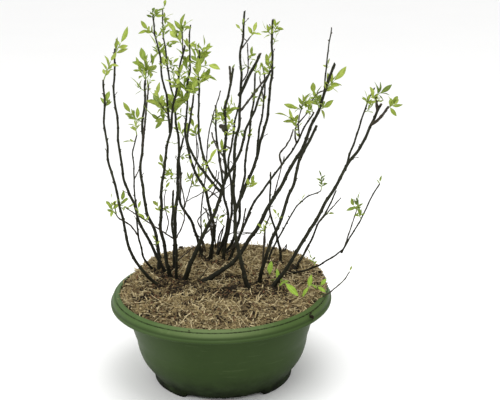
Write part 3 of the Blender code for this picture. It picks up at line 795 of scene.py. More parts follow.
def smooth_line(knots, count):
    """Points at even steps on one smooth curve through the knots."""
    knots = np.asarray(knots, float)
    ends = np.vstack([2 * knots[0] - knots[1], knots, 2 * knots[-1] - knots[-2]])
    place = np.linspace(0, len(knots) - 1, count)
    index = np.minimum(place.astype(int), len(knots) - 2)
    t = (place - index)[:, None]
    a, b, c, d = (ends[index + step] for step in range(4))
    bend = (2 * a - 5 * b + 4 * c - d) * t ** 2 + (3 * b - a - 3 * c + d) * t ** 3
    return (2 * b + (c - a) * t + bend) / 2


def travelled(route):
    """How far along a route each of its points lies."""
    return np.r_[0, np.cumsum(np.linalg.norm(np.diff(route, axis=0), axis=1))]


def side_arrows(route):
    """A route's direction, and two arrows square to it that turn as little as they can."""
    along = unit(np.gradient(route, axis=0))
    helper = np.array([1.0, 0, 0]) if abs(along[0][0]) < 0.8 else np.array([0, 1.0, 0])
    arrow = helper
    across = []
    for direction in along:
        arrow = unit(arrow - direction * (arrow @ direction))
        across.append(arrow)
    across = np.array(across)
    return along, across, np.cross(along, across)


def tube_faces(rings, sides):
    """The faces of a tube: its walls, ring by ring, and its two ends."""
    faces = []
    for ring in range(rings - 1):
        for side in range(sides):
            following = (side + 1) % sides
            low, high = ring * sides, (ring + 1) * sides
            faces.append((low + side, low + following, high + following, high + side))
    faces.append(tuple(range(sides - 1, -1, -1)))
    faces.append(tuple(range((rings - 1) * sides, rings * sides)))
    return faces


class Heap:
    """Many small shapes, gathered as arrays and joined into one mesh."""

    def __init__(self):
        self.points = []
        self.marks = []
        self.faces = []
        self.count = 0

    def add(self, points, faces, marks=None):
        """Add one shape, with a place on the pattern for each of its points."""
        self.points.append(points)
        self.marks.append(np.zeros((len(points), 2)) if marks is None else marks)
        start = self.count
        self.faces += [[corner + start for corner in face] for face in faces]
        self.count += len(points)

    def add_tube(self, route, radii, sides):
        """A thin round stem along a route, closed at both ends."""
        _, across, upward = side_arrows(route)
        turn = np.arange(sides) * FULL_TURN / sides
        spokes = (across[:, None] * np.cos(turn)[:, None]
                  + upward[:, None] * np.sin(turn)[:, None])
        rings = route[:, None] + spokes * np.asarray(radii)[:, None, None]
        self.add(rings.reshape(-1, 3), tube_faces(len(route), sides))

    def ease_within(self, axis, start, limit):
        """Draw in the points past one place on an axis, so that none passes another."""
        way = math.copysign(1.0, limit - start)
        room = abs(limit - start)
        for points in self.points:
            over = np.maximum((points[:, axis] - start) * way, 0)
            points[:, axis] -= (over - room * np.tanh(over / room)) * way

    def mesh(self, name, pattern=None, smooth=True):
        """The joined mesh."""
        mesh = bpy.data.meshes.new(name)
        mesh.from_pydata(np.vstack(self.points).tolist(), [], self.faces)
        if pattern:
            corners = np.zeros(len(mesh.loops), np.int32)
            mesh.loops.foreach_get("vertex_index", corners)
            layer = mesh.uv_layers.new(name=pattern)
            layer.data.foreach_set("uv", np.vstack(self.marks)[corners].ravel())
        if smooth:
            mesh.shade_smooth()
        mesh.validate()
        return mesh


# The pot

def turn_outline(bm, outline, steps):
    """Spin a half outline of radius and height round the pot's axis."""
    verts = [bm.verts.new((radius, 0, height)) for radius, height in outline]
    edges = [bm.edges.new(pair) for pair in zip(verts, verts[1:])]
    bmesh.ops.spin(bm, geom=verts + edges, axis=(0, 0, 1), cent=(0, 0, 0), steps=steps,
                   angle=FULL_TURN, use_merge=True)
    bmesh.ops.remove_doubles(bm, verts=bm.verts, dist=0.000001)
    bmesh.ops.recalc_face_normals(bm, faces=bm.faces)


def away_from_gap(angle):
    """How far round, in radians, a direction is past the edge of its nearest foot gap."""
    pitch = FULL_TURN / FOOT_COUNT
    offset = (angle + math.pi / 2 + pitch / 2) % pitch - pitch / 2
    return abs(offset) - FOOT_HALF_GAP


def add_feet(bm):
    """Three low feet with rounded ends, each turned through part of a circle."""
    inner = FOOT_INNER_RADIUS
    outline = [(inner, FOOT_TOP), (inner, FOOT_BEVEL), (inner + FOOT_BEVEL, 0.0),
               (FOOT_RADIUS - FOOT_BEVEL, 0.0), (FOOT_RADIUS, 0.0010),
               (FOOT_RADIUS + FOOT_SWELL, 0.0070), (FOOT_RADIUS + FOOT_SWELL, FOOT_TOP)]
    pitch = FULL_TURN / FOOT_COUNT
    reach = pitch - 2 * FOOT_HALF_GAP
    for foot in range(FOOT_COUNT):
        start = -math.pi / 2 + FOOT_HALF_GAP + foot * pitch
        turned = Matrix.Rotation(start, 3, "Z")
        verts = [bm.verts.new(turned @ Vector((radius, 0, height)))
                 for radius, height in outline]
        edges = [bm.edges.new(pair) for pair in zip(verts, verts[1:] + verts[:1])]
        made = bmesh.ops.spin(bm, geom=verts + edges, axis=(0, 0, 1), cent=(0, 0, 0),
                              steps=FOOT_STEPS, angle=reach)["geom_last"]
        last = [part for part in made if isinstance(part, bmesh.types.BMEdge)]
        bmesh.ops.edgeloop_fill(bm, edges=edges)
        bmesh.ops.edgeloop_fill(bm, edges=last)


def round_foot_ends(bm):
    """Draw the feet's ends in and up, so that each foot is rounded off."""
    for vertex in bm.verts:
        radius = math.hypot(vertex.co.x, vertex.co.y)
        left = away_from_gap(math.atan2(vertex.co.y, vertex.co.x)) * FOOT_RADIUS
        full = math.sqrt(1 - (1 - held(left / FOOT_ROUNDING)) ** 2)
        inner = FOOT_INNER_RADIUS
        drawn = inner + (radius - inner) * (0.55 + 0.45 * full)
        draw_in(vertex, drawn / radius)
        vertex.co.z += (FOOT_TOP - vertex.co.z) * (1 - full) * 0.8


def recess_between_panels(bm):
    """Set the lower wall back a little between the panels that run up from the feet."""
    for vertex in bm.verts:
        radius = math.hypot(vertex.co.x, vertex.co.y)
        if radius < POT_FLAT_RADIUS or vertex.co.z > PANEL_TOP:
            continue
        past = away_from_gap(math.atan2(vertex.co.y, vertex.co.x))
        gap = held(0.5 - past / PANEL_EDGE)
        fade = min(1.0, (PANEL_TOP - vertex.co.z) / PANEL_FADE)
        draw_in(vertex, (radius - PANEL_RECESS * gap * fade) / radius)


def make_pot():
    """The bowl pot: a thin wall under a stepped rim, a flat base and three feet."""
    wall = [tuple(point) for point in smooth_line(POT_WALL, POT_WALL_POINTS)]
    inside = [(radius - POT_THICK, height) for radius, height in reversed(wall)
              if height > POT_FLOOR + 0.004]
    inside = [(0.0, POT_FLOOR), (inside[0][0] - 0.006, POT_FLOOR)] + inside
    flat = POT_FLAT_RADIUS
    base = [(0.1205, 0.0046), (flat + 0.001, 0.0046), (flat, 0.0040),
            (flat - 0.0004, 0.0006), (flat - 0.0010, 0.0), (0.0, 0.0)]
    bm = bmesh.new()
    turn_outline(bm, inside + POT_RIM + wall + base, POT_STEPS)
    recess_between_panels(bm)
    feet = bmesh.new()
    add_feet(feet)
    round_foot_ends(feet)
    bmesh.ops.recalc_face_normals(feet, faces=feet.faces)
    feet_mesh = mesh_from(feet, "feet")
    bm.from_mesh(feet_mesh)
    bpy.data.meshes.remove(feet_mesh)
    mesh = mesh_from(bm, "pot_bowl")
    mesh.set_sharp_from_angle(angle=math.radians(50))
    add_piece("pot_bowl", mesh, [pot_plastic()], "pot", "pot")


# The mulch

class Ground:
    """The packed soil's surface, which the mulch and the stems' feet lie on."""

    def __init__(self, feet):
        bm = bmesh.new()
        bm.from_mesh(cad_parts["soil"].data)
        bmesh.ops.remove_doubles(bm, verts=bm.verts, dist=0.00001)
        self.tree = BVHTree.FromBMesh(bm)
        bm.free()
        # painted shade and damp: a dark spot just in front of each cane's foot, with the listed
        # dark places
        damp_and_shade = [(foot[0], foot[1] - FOOT_DAMP_AND_SHADE_REACH / 2, FOOT_DAMP_AND_SHADE_REACH) for foot in feet]
        damp_and_shade += [(x * MM, y * MM, reach * MM) for x, y, reach in DAMP_AND_SHADE_SPOTS]
        self.spots = np.array(damp_and_shade)

    def height(self, x, y):
        """The soil's height, carried on level past its edge."""
        reach = math.hypot(x, y)
        pull = min(1.0, SOIL_EDGE / reach) if reach else 1.0
        hit = self.tree.ray_cast(Vector((x * pull, y * pull, 1.0)), Vector((0, 0, -1)))[0]
        return hit.z

    def edge(self, angle):
        """How far out the mulch reaches in one direction."""
        return MULCH_RADIUS + SPILL_REACH * sector_share(angle, *SPILL_SECTOR)

    def heaped(self, x, y):
        """The soil's height, but heaped up to the pot's edge at the back and right."""
        reach = math.hypot(x, y)
        angle = math.atan2(y, x)
        plain = self.height(x, y)
        if reach < HEAP_START:
            return plain
        pull = HEAP_LEVEL / reach
        lift = HEAP_LIFT * min(1.0, (reach - HEAP_START) / HEAP_SLOPE)
        level = self.height(x * pull, y * pull) + lift
        fall = held((reach - self.edge(angle)) / HEAP_DROP + 1)
        full = RIM_TOP + (level - RIM_TOP) * math.sqrt(1 - fall ** 2)
        return plain + (full - plain) * sector_share(angle, *HEAP_SECTOR)

    def crumb(self, x, y):
        """The mulch's own height there: hummocks and hollows of a few millimetres."""
        low = noise.noise(Vector((x, y, 0.3)) * HUMMOCK_PITCH) * HUMMOCK_HEIGHT
        fine = noise.noise(Vector((x, y, 4.1)) * CRUMB_PITCH) * CRUMB_HEIGHT
        inside = held((self.edge(math.atan2(y, x)) - math.hypot(x, y)) / CALM_EDGE)
        share = CALM_SHARE + (1 - CALM_SHARE) * inside
        return self.heaped(x, y) + (low + fine) * share - MULCH_SINK

    def damp_and_shade(self, x, y):
        """How dark the mulch is painted for damp and painted shade, up to 1: most of all round
        the canes' feet.
        """
        away = np.hypot(self.spots[:, 0] - x, self.spots[:, 1] - y) / self.spots[:, 2]
        near = min(1.0, np.exp(-away ** 2).sum())
        cloud = noise.noise(Vector((x, y, 9.7)) * CLOUD_PITCH)
        cloud += 0.5 * noise.noise(Vector((x, y, 2.2)) * CLOUD_FINE_PITCH)
        # painted light: the mulch is painted lighter towards the back, where more light falls
        dry = held((y - 0.02) / 0.08) * PAINTED_LIGHT_BACK
        soaked = held((0.12 - x) / 0.20) * DAMP_LEFT
        level = DAMP_BASE + near * DAMP_AND_SHADE_NEAR + cloud * DAMP_CLOUD + soaked - dry
        return held(level, DRIEST)


def sector_share(angle, middle, half, fade):
    """1 within a sector round the pot and 0 outside it, with a slope at its ends."""
    off = abs((angle - middle + math.pi) % FULL_TURN - math.pi)
    return held((half - off) / fade)


def make_mulch_bed(ground):
    """The bed of fine fibre: a turned mound, pushed into hummocks, darker where damp and where
    painted shade falls.
    """
    rings = [(MULCH_RADIUS * ring / MULCH_RINGS, NOT_LAID) for ring in range(MULCH_RINGS + 1)]
    bm = bmesh.new()
    turn_outline(bm, rings + MULCH_SIDES, MULCH_STEPS)
    wet = bm.verts.layers.float.new("damp_and_shade")
    for vertex in bm.verts:
        if vertex.co.z > NOT_LAID / 2:
            reach = math.hypot(vertex.co.x, vertex.co.y)
            spill = ground.edge(math.atan2(vertex.co.y, vertex.co.x)) / MULCH_RADIUS - 1
            draw_in(vertex, 1 + spill * (reach / MULCH_RADIUS) ** SPILL_BEND)
            vertex.co.z = ground.crumb(vertex.co.x, vertex.co.y)
        vertex[wet] = ground.damp_and_shade(vertex.co.x, vertex.co.y)
    mesh = mesh_from(bm, "mulch_bed")
    add_piece("mulch_bed", mesh, [bed_fibre()], "soil", "soil")


def chip_points(rng, length, width, spot, heading, pitch):
    """The twelve corners of one bent sliver of wood that lies at a spot."""
    along = level_arrow(heading) * math.cos(pitch) + UP * math.sin(pitch)
    across = unit(np.cross(UP, along))
    across, above = rolled(across, np.cross(along, across), rng.gauss(0, 0.35))
    thick = max(CHIP_THINNEST, width * rng.uniform(0.16, 0.34))
    bow = length * rng.gauss(0, 0.06)
    sweep = length * rng.gauss(0, 0.07)
    rows = []
    for share, taper in ((-0.5, rng.uniform(0.3, 0.9)), (rng.uniform(-0.12, 0.12), 1.0),
                         (0.5, rng.uniform(0.15, 0.8))):
        bend = (above * bow + across * sweep) * (1 - 4 * share ** 2)
        middle = spot + along * length * share + bend
        half = across * width * taper / 2
        lift = above * thick / 2
        rows += [middle - half - lift, middle + half - lift,
                 middle + half + lift, middle - half + lift]
    return np.array(rows)


def add_chip(rng, heap, length, width, spot, heading, pitch):
    """Lay one chip in a heap."""
    heap.add(chip_points(rng, length, width, np.array(spot), heading, pitch), CHIP_FACES)


def scatter_chips(ground):
    """Chips, slivers and bark bits all over the bed, each tone its own joined piece."""
    rng = random.Random(CHIP_SEED)
    heaps = {name: Heap() for name in CHIPS}
    for _ in range(CHIP_COUNT):
        angle = rng.uniform(-math.pi, math.pi)
        x, y = around(angle, (ground.edge(angle) + MM) * math.sqrt(rng.random()))
        # damp and painted shade: dark bark chips are laid more often where the mulch is painted
        # dark
        damp_and_shade = ground.damp_and_shade(x, y)
        shares = [dry * (1 - damp_and_shade) + wet * damp_and_shade for dry, wet, *_ in CHIPS.values()]
        name = rng.choices(list(CHIPS), shares)[0]
        _, _, lengths, widths, _, _ = CHIPS[name]
        length = rng.uniform(*lengths) * MM * rng.uniform(0.5, 1.0)
        width = rng.uniform(*widths) * MM
        pitch = rng.uniform(0.3, 0.9) if rng.random() < STEEP_SHARE else rng.gauss(0, 0.16)
        lift = abs(math.sin(pitch)) * length / 2 + rng.uniform(0.0, 1.5) * MM
        spot = (x, y, ground.crumb(x, y) + lift)
        add_chip(rng, heaps[name], length, width, spot, rng.uniform(0, math.pi), pitch)
    scatter_dark_bits(rng, heaps["mulch_bark"], ground)
    for name, heap in heaps.items():
        *_, dark, light = CHIPS[name]
        wood = wood_fibre(name + "_wood", dark, light)
        add_piece(name, heap.mesh(name, smooth=False), [wood], "soil", "soil")


def scatter_dark_bits(rng, heap, ground):
    """Lumps on the bed, clumps that cling to the rim and crumbs in the rim's groove."""
    for x, y, above, length, width, heading in CLODS:
        for _ in range(CLOD_BITS):
            spot = (x * MM + rng.gauss(0, CLOD_SPREAD), y * MM + rng.gauss(0, CLOD_SPREAD),
                    ground.crumb(x * MM, y * MM) + above * MM * rng.uniform(0.3, 1.0))
            turn = math.radians(heading) + rng.gauss(0, 0.3)
            add_chip(rng, heap, length * MM * rng.uniform(0.7, 1.0), width * MM * 0.8,
                     spot, turn, rng.gauss(0, 0.3))
    for centre, spread, bits in RIM_CLUMPS:
        for _ in range(bits):
            spot = [middle + rng.gauss(0, spread * MM) for middle in centre]
            length = rng.uniform(1.5, 3.2) * spread * MM
            width = rng.uniform(0.55, 1.05) * spread * MM
            add_chip(rng, heap, length, width, spot, rng.uniform(0, math.pi), rng.gauss(0, 0.6))
    for _ in range(GROOVE_CRUMBS):
        angle = rng.uniform(*GROOVE_SECTOR)
        spot = (*around(angle, GROOVE_RADIUS + rng.gauss(0, 0.0005)), GROOVE_HEIGHT)
        add_chip(rng, heap, rng.uniform(0.8, 2.4) * MM, rng.uniform(0.7, 1.4) * MM, spot,
                 rng.uniform(0, math.pi), 0.0)


def scatter_fibres(ground):
    """Loose wood fibres that curl over the bed."""
    rng = random.Random(FIBRE_SEED)
    heap = Heap()
    for _ in range(FIBRE_COUNT):
        angle = rng.uniform(-math.pi, math.pi)
        spot = np.array([*around(angle, FIBRE_REACH * math.sqrt(rng.random())), 0])
        heading = rng.uniform(0, FULL_TURN)
        length = rng.uniform(8, 26) * MM
        if ground.damp_and_shade(spot[0], spot[1]) > FIBRE_DAMP_AND_SHADE_LIMIT:
            continue
        knots = []
        for _ in range(FIBRE_STEPS):
            heading += rng.gauss(0, 0.45)
            flat = math.hypot(spot[0], spot[1])
            if flat > FIBRE_LIMIT:
                spot[:2] *= FIBRE_LIMIT / flat
            height = ground.crumb(spot[0], spot[1]) + rng.uniform(0.6, 2.2) * MM
            knots.append([spot[0], spot[1], height])
            spot = spot + level_arrow(heading) * length / (FIBRE_STEPS - 1)
        route = smooth_line(knots, len(FIBRE_TAPER))
        thick = rng.uniform(0.20, 0.42) * MM
        heap.add_tube(route, [thick * share for share in FIBRE_TAPER], 4)
    wood = wood_fibre("fibre_wood", *FIBRE_TONES)
    add_piece("mulch_fibres", heap.mesh("mulch_fibres"), [wood], "soil", "soil")


# Canes and boughs

def read_rings(node):
    """The middles and radii of a limb's plain rings, from its seat to its tip."""
    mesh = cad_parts[node].data
    cloud = np.zeros(len(mesh.vertices) * 3, np.float32)
    mesh.vertices.foreach_get("co", cloud)
    cloud = np.unique(np.round(cloud.reshape(-1, 3).astype(float), 5), axis=0)
    here = cloud[cloud[:, 2].argmax()]
    middles, radii = [], []
    while len(cloud):
        nearest = cloud[np.linalg.norm(cloud - here, axis=1).argmin()]
        near = np.linalg.norm(cloud - nearest, axis=1) < RING_REACH
        if len(cloud) - near.sum() < RING_VERTICES:
            near[:] = True
        here = cloud[near].mean(axis=0)
        middles.append(here)
        radii.append(np.linalg.norm(cloud[near] - here, axis=1).mean())
        cloud = cloud[~near]
    # the ring at the seat is cut aslant, so its radius goes on from the two above it
    radii[-1] = 2 * radii[-2] - radii[-3]
    return np.array(middles[::-1]), np.array(radii[::-1])


class Stem:
    """A limb's or twig's line: its points, directions, thickness and length so far."""

    def __init__(self, route, radii):
        self.route = route
        self.radii = radii
        self.run = travelled(route)
        self.along, self.across, self.upward = side_arrows(route)

    def station(self, share):
        """The index of the line's point at a share of the way up."""
        return int(np.searchsorted(self.run, share * self.run[-1] - 1e-9))

    def outward(self, index, turn):
        """The direction square to the stem, turned round it."""
        return self.across[index] * math.cos(turn) + self.upward[index] * math.sin(turn)


class Limb(Stem):
    """One cane or bough, read from its plain solid, with the places of its buds."""

    def __init__(self, node, seed):
        self.node = node
        middles, radii = read_rings(node)
        seat = middles[0] - unit(middles[1] - middles[0]) * SEAT_DEPTH
        middles = np.vstack([seat, middles])
        radii = np.r_[radii[0], radii]
        count = int(travelled(middles)[-1] / BARK_STEP) + 2
        radii = np.interp(np.linspace(0, len(radii) - 1, count), np.arange(len(radii)), radii)
        route = smooth_line(middles, count)
        run = travelled(route)
        radii = radii * np.interp(run / run[-1], [0, 1], TALL_TAPER.get(node, USUAL_TAPER))
        for index, distance in enumerate(run):
            stray = noise.noise_vector(Vector((seed, 0, distance * WANDER_PITCH)))
            route[index] += np.array(stray) * WANDER * min(1.0, distance / WANDER_START)
        super().__init__(route, radii)
        flare = CANE_FLARE if node.startswith("cane") else BOUGH_FLARE
        self.radii = self.radii * (1 + flare * np.exp(-self.run / FLARE_LENGTH))
        rng = random.Random(seed)
        self.buds = self.place_buds(rng)
        self.phase = rng.uniform(0, 100)

    def place_buds(self, rng):
        """How far up the limb each bud stands, and how far round it."""
        buds = []
        distance = FIRST_NODE
        turn = rng.uniform(0, FULL_TURN)
        while distance < self.run[-1] - LAST_NODE:
            buds.append((distance, turn % FULL_TURN))
            distance += rng.uniform(*NODE_SPACING)
            turn += GOLDEN_TURN + rng.gauss(0, 0.2)
        return buds

    def relief(self):
        """The bark's radius at each station and side: swollen nodes, ridges and grain."""
        turn = np.arange(BARK_SIDES) * FULL_TURN / BARK_SIDES
        surface = np.repeat(self.radii[:, None], BARK_SIDES, axis=1)
        swell = np.zeros_like(surface)
        for distance, bud_turn in self.buds:
            near = np.exp(-((self.run - distance) / NODE_LENGTH) ** 2)[:, None]
            swell += near * NODE_SWELL * (1 + BUD_SIDE * np.cos(turn - bud_turn)[None])
        twist = self.phase + self.run[:, None] * RIDGE_TWIST
        ridge = np.sin(turn * RIDGES + twist) * BARK_RIDGE
        surface = surface * (1 + swell + ridge)
        for index, distance in enumerate(self.run):
            for side, angle in enumerate(turn):
                spot = Vector((math.cos(angle) * 1.1, math.sin(angle) * 1.1,
                               distance * BARK_GRAIN_PITCH + self.phase))
                surface[index, side] += noise.noise(spot * 1.7) * BARK_ROUGH
        return surface


def make_bark(limb, materials):
    """A limb's relief bark: a ring drawn up the limb, closed at its seat and its cut tip."""
    surface = limb.relief()
    bm = bmesh.new()
    side_mark = bm.verts.layers.int.new("side")
    ring = bmesh.ops.create_circle(bm, segments=BARK_SIDES, radius=1.0)["verts"]
    for side, vertex in enumerate(ring):
        vertex[side_mark] = side
    edges = list(bm.edges)
    bmesh.ops.edgeloop_fill(bm, edges=edges)
    last = len(limb.route) - 1
    for index in range(last + 1):
        if index:
            made = bmesh.ops.extrude_edge_only(bm, edges=edges)["geom"]
            ring = [part for part in made if isinstance(part, bmesh.types.BMVert)]
            edges = [part for part in made if isinstance(part, bmesh.types.BMEdge)]
        for vertex in ring:
            turn = vertex[side_mark] * FULL_TURN / BARK_SIDES
            radius = surface[index, vertex[side_mark]]
            spot = limb.route[index] + limb.outward(index, turn) * radius
            if index == last:
                slant = limb.radii[index] * CUT_SLOPE * (math.cos(turn - limb.phase) - 1)
                spot = spot + limb.along[index] * slant
            vertex.co = spot
    tip = bmesh.ops.edgeloop_fill(bm, edges=edges)["faces"]
    bmesh.ops.recalc_face_normals(bm, faces=bm.faces)
    rim = limb.radii[-1] * CUT_RIM
    bmesh.ops.inset_region(bm, faces=tip, thickness=rim, depth=-rim * 0.4)
    for face in tip:
        face.material_index = 1
    mesh = mesh_from(bm, "bark_" + limb.node)
    mesh.set_sharp_from_angle(angle=math.radians(55))
    add_piece("bark_" + limb.node, mesh, materials, "bark", limb.node)


# Twigs, shoots and leaves

def leaf_faces():
    """A leaf's faces: a fan at each end and rows of four between."""
    columns = len(LEAF_COLUMNS)
    rows = len(LEAF_OUTLINE)
    faces = [(0, 2 + column, 1 + column) for column in range(columns - 1)]
    for row in range(rows - 1):
        start = 1 + row * columns
        faces += [(start + column, start + column + 1, start + columns + column + 1,
                   start + columns + column) for column in range(columns - 1)]
    start = 1 + (rows - 1) * columns
    tip = start + columns
    faces += [(start + column, start + column + 1, tip) for column in range(columns - 1)]
    return faces


LEAF_FACES = leaf_faces()
LEAF_MARKS = np.array([(0.0, 0.5)]
                      + [(along, 0.5 + 0.5 * column) for along, _ in LEAF_OUTLINE
                         for column in LEAF_COLUMNS]
                      + [(1.0, 0.5)])


class Growth:
    """The seeded rule by which twigs, shoots, buds and leaves grow on from the limbs."""

    def __init__(self, limbs, seed):
        self.rng = random.Random(seed)
        self.limbs = limbs
        self.stems = dict(limbs)
        self.twigs = Heap()
        self.shoots = Heap()
        self.buds = Heap()
        self.leaves = {tone: Heap() for tone in TONES}

    def add_bud(self, spot, direction, size):
        """A small pointed bud."""
        route = spot + np.outer(np.array([-0.2, 0.1, 0.35, 0.7, 1.0]) * size, direction)
        self.buds.add_tube(route, np.array([0.20, 0.34, 0.36, 0.20, 0.03]) * size, 6)

    def add_leaf(self, base, direction, inner, length, tone, twist=LEAF_ROLL, breadth=1.0):
        """One leaf from its base, with its upper face turned towards the inner side."""
        rng = self.rng
        normal = unit(inner - direction * (inner @ direction))
        normal, sideways = rolled(normal, np.cross(normal, direction), rng.gauss(0, twist))
        half = length * breadth * rng.uniform(*LEAF_HALF_WIDTH)
        fold = rng.uniform(0.10, 0.45)
        curl = rng.uniform(-0.04, 0.24)
        sweep = rng.gauss(0, 0.08)
        wave = rng.uniform(0, 0.12)
        points = [base]
        for share, width in LEAF_OUTLINE:
            bent = share ** 2 * length
            spine = base + direction * share * length
            spine = spine - normal * curl * bent + sideways * sweep * bent
            for column in LEAF_COLUMNS:
                reach = column * width * half
                lift = abs(column) ** 1.4 * width * half * fold
                lift += math.sin(share * 9 + column * 2) * wave * half * abs(column)
                points.append(spine + sideways * reach * math.cos(fold * 0.6) + normal * lift)
        points.append(base + (direction - normal * curl + sideways * sweep) * length)
        self.leaves[tone].add(np.array(points), LEAF_FACES, LEAF_MARKS)

    def leaf_tone(self, tone):
        """The shoot's own tone, or now and then the one next to it."""
        return tone if self.rng.random() < OWN_TONE_SHARE else NEXT_TONES[tone]

    def add_tuft(self, stem, place, across, up, count, size):
        """A green shoot from its foot on a stem, set round with leaves up to its tip."""
        rng = self.rng
        tone = rng.choices(list(TONE_SHARES), list(TONE_SHARES.values()))[0]
        index = stem.station(place)
        start = stem.route[index]
        reach = math.hypot(across, up)
        tip = start + np.array([across, rng.uniform(-0.7, 0.7) * reach, up]) * MM
        run = tip - start
        length = np.linalg.norm(run)
        bow = unit(np.array([rng.gauss(0, 1), rng.gauss(0, 1), -1.0])) * length * 0.10
        route = smooth_line([start, start + run * 0.5 + bow, tip], SHOOT_POINTS)
        thick = (0.45 + 0.022 * size + 0.010 * reach) * MM
        radii = np.linspace(thick, thick * 0.5, SHOOT_POINTS)
        self.shoots.add_tube(route, radii, 6)
        self.add_bud(start + unit(run) * stem.radii[index] * 0.8, unit(run), SHOOT_BUD)
        self.set_leaves(Stem(route, radii), int(count * LEAF_PLENTY + 0.5), size, tone)

    def set_leaves(self, shoot, count, size, tone):
        """Leaves that wind up a green shoot, and one that goes on from its tip."""
        rng = self.rng
        turn = rng.uniform(0, FULL_TURN)
        for number in range(count):
            last = number == count - 1
            share = 1.0 if last else 0.30 + 0.66 * number / max(1, count - 1)
            station = share * (len(shoot.route) - 1)
            step = min(int(station), len(shoot.route) - 2)
            below, above = shoot.route[step:step + 2]
            base = below + (above - below) * (station - step)
            along = shoot.along[step]
            spread = math.radians(rng.gauss(*(END_SPREAD if last else SIDE_SPREAD)))
            outward = shoot.outward(step, turn)
            lean = unit(along * math.cos(spread) + outward * math.sin(spread) + UP * LEAF_RISE)
            leaf = (size + LEAF_GROWTH) * MM * rng.uniform(*(END_LEAF if last else SIDE_LEAF))
            self.add_leaf(base, lean, along + UP * LEAF_FACING_UP, leaf, self.leaf_tone(tone))
            turn += GOLDEN_TURN + rng.gauss(0, 0.35)

    def thin_twig(self, ground, name, carrier, place, tip, bows, thick):
        """A thin twig of known course, from a limb or from the mulch."""
        rng = self.rng
        tip = np.array(tip) * MM
        if carrier == "mulch":
            x, y = place[0] * MM, place[1] * MM
            start = np.array([x, y, ground.height(x, y) - 0.004])
        else:
            stem = self.stems[carrier]
            start = stem.route[stem.station(place)]
        run = tip - start
        sideways = unit(np.array([run[2], 0, -run[0]]))
        bows = bows or (0,)
        knots = [start]
        for number, bow in enumerate(bows, 1):
            share = number / (len(bows) + 1)
            knots.append(start + run * share + sideways * bow * MM)
        knots.append(tip)
        route = smooth_line(knots, max(8, int(np.linalg.norm(run) / TWIG_STEP)))
        jog = np.array([[rng.gauss(0, 1) for _ in range(3)] for _ in route]) * TWIG_JOG
        jog[0] = 0
        route = route + jog
        widest, thinnest = TWIG_TAPER
        radii = np.linspace(thick * widest, thick * thinnest, len(route)) * MM / 2
        knobs = np.array([1.0 + TWIG_KNOB * (index % 4 == 2) for index in range(len(route))])
        self.twigs.add_tube(route, radii * knobs, 8)
        twig = Stem(route, radii)
        self.stems[name] = twig
        for index in range(3, len(route) - 1, 4):
            outward = twig.outward(index, rng.uniform(0, FULL_TURN))
            lean = unit(outward + twig.along[index])
            size = rng.uniform(*TWIG_BUD) * MM
            self.add_bud(route[index] + outward * radii[index], lean, size)

    def add_low_leaves(self):
        """The bright shoots and leaves that lie over the mulch at the front right."""
        for course in LOW_SHOOTS:
            route = smooth_line(np.array(course) * MM, LOW_SHOOT_POINTS)
            radii = np.linspace(1.0, 0.6, LOW_SHOOT_POINTS) * MM
            self.shoots.add_tube(route, radii, 6)
        for base, tip in LOW_LEAVES:
            run = (np.array(tip) - np.array(base)) * MM
            length = np.linalg.norm(run)
            self.add_leaf(np.array(base) * MM, run / length, LOW_FACING,
                          length * LOW_LENGTH, "bright", LOW_ROLL, LOW_BREADTH)

    def dot_buds(self):
        """Buds and short spurs at the limbs' swollen nodes, fewer low down."""
        rng = self.rng
        for limb in self.limbs.values():
            for distance, turn in limb.buds:
                share = distance / limb.run[-1]
                if rng.random() > BUD_CHANCE_LOW + BUD_CHANCE_RISE * share:
                    continue
                index = int(np.searchsorted(limb.run, distance))
                outward = limb.outward(index, turn)
                lean = unit(outward + limb.along[index] * 1.1)
                spot = limb.route[index] + outward * limb.radii[index] * 1.05
                size = rng.uniform(1.8, 3.2) * MM
                if rng.random() < SPUR_SHARE:
                    reach = rng.uniform(3, 9) * MM
                    knee = spot + lean * reach * 0.5 + outward * 0.4 * MM
                    tip = spot + lean * reach
                    route = smooth_line([limb.route[index], spot, knee, tip], 8)
                    self.twigs.add_tube(route, np.linspace(0.75, 0.5, 8) * MM, 6)
                    spot = tip
                self.add_bud(spot, lean, size)


def make_foliage(growth, masses):
    """Draw the green growth in to the crown's bounds, and join each kind in one piece."""
    for heap in (growth.shoots, growth.buds, *growth.leaves.values()):
        for bound in CROWN_BOUNDS:
            heap.ease_within(*bound)
    add_piece("twigs", growth.twigs.mesh("twigs"), [twig_bark()], "bark", *masses)
    add_piece("green_shoots", growth.shoots.mesh("green_shoots"), [green_shoot()],
              "foliage", *masses)
    add_piece("buds", growth.buds.mesh("buds"), [bud_scales()], "bark", *masses)
    for tone, base in TONES.items():
        name = "leaves_" + tone + "_tone"
        mesh = growth.leaves[tone].mesh(name, "blade")
        add_piece(name, mesh, [leaf_skin(tone, base)], "foliage", *masses)


# The studio

def make_floor():
    """A wide pale floor under the pot."""
    bm = bmesh.new()
    bmesh.ops.create_grid(bm, x_segments=4, y_segments=4, size=6.0)
    mesh = mesh_from(bm, "studio_floor")
    mesh.materials.append(pale_floor())
    floor = bpy.data.objects.new("studio_floor", mesh)
    bpy.context.scene.collection.objects.link(floor)


def add_softbox(name, spot, size, power):
    """A square soft light that faces the bush."""
    light = bpy.data.lights.new(name, "AREA")
    light.size = size
    light.energy = power
    lamp = bpy.data.objects.new(name, light)
    lamp.location = spot
    toward = Vector((0, 0, 0.3)) - lamp.location
    lamp.rotation_euler = toward.to_track_quat("-Z", "Y").to_euler()
    bpy.context.scene.collection.objects.link(lamp)


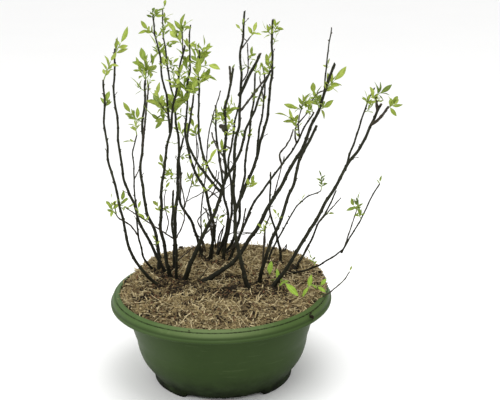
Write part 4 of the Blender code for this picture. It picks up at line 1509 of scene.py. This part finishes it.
def make_lights():
    """An even white room with a large light overhead and a weaker one to the left."""
    world = bpy.data.worlds.new("white_room")
    world.use_nodes = True
    background = world.node_tree.nodes["Background"]
    background.inputs["Color"].default_value = (1.0, 1.0, 1.0, 1.0)
    background.inputs["Strength"].default_value = 1.0
    bpy.context.scene.world = world
    add_softbox("overhead_light", (0.3, -0.3, 2.4), 1.6, 26)
    add_softbox("left_light", (-2.0, -0.6, 1.6), 1.2, 12)
    bpy.context.scene.view_settings.view_transform = "Standard"


def make_camera():
    """The camera, at the picture's distance, angle and focal length."""
    data = bpy.data.cameras.new("camera")
    data.lens = LENS_MM
    camera = bpy.data.objects.new("camera", data)
    spot = Vector((0, -math.cos(CAMERA_RISE), math.sin(CAMERA_RISE))) * CAMERA_DISTANCE
    turn = (Matrix.Rotation(-CAMERA_YAW, 4, "Z")
            @ Matrix.Rotation(math.pi / 2 - CAMERA_DIP, 4, "X")
            @ Matrix.Rotation(CAMERA_ROLL, 4, "Z"))
    camera.matrix_world = Matrix.Translation(spot + Vector((0, 0, RIM_PLANE))) @ turn
    bpy.context.scene.collection.objects.link(camera)
    bpy.context.scene.camera = camera


def main():
    noise.seed_set(WANDER_SEED)
    make_camera()
    make_lights()
    make_floor()
    make_pot()
    names = sorted(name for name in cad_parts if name.startswith(("cane", "bough")))
    limbs = {name: Limb(name, LIMB_SEED + number) for number, name in enumerate(names)}
    feet = [limb.route[0] for limb in limbs.values() if limb.node.startswith("cane")]
    ground = Ground(feet)
    make_mulch_bed(ground)
    scatter_chips(ground)
    scatter_fibres(ground)
    bark = [cane_bark(), cut_wood()]
    for limb in limbs.values():
        make_bark(limb, bark)
    growth = Growth(limbs, GROWTH_SEED)
    for twig in THIN_TWIGS:
        growth.thin_twig(ground, *twig)
    for name, tufts in TUFTS.items():
        for tuft in tufts:
            growth.add_tuft(growth.stems[name], *tuft)
    growth.add_low_leaves()
    growth.dot_buds()
    make_foliage(growth, [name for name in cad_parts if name.startswith("leaves")])


main()
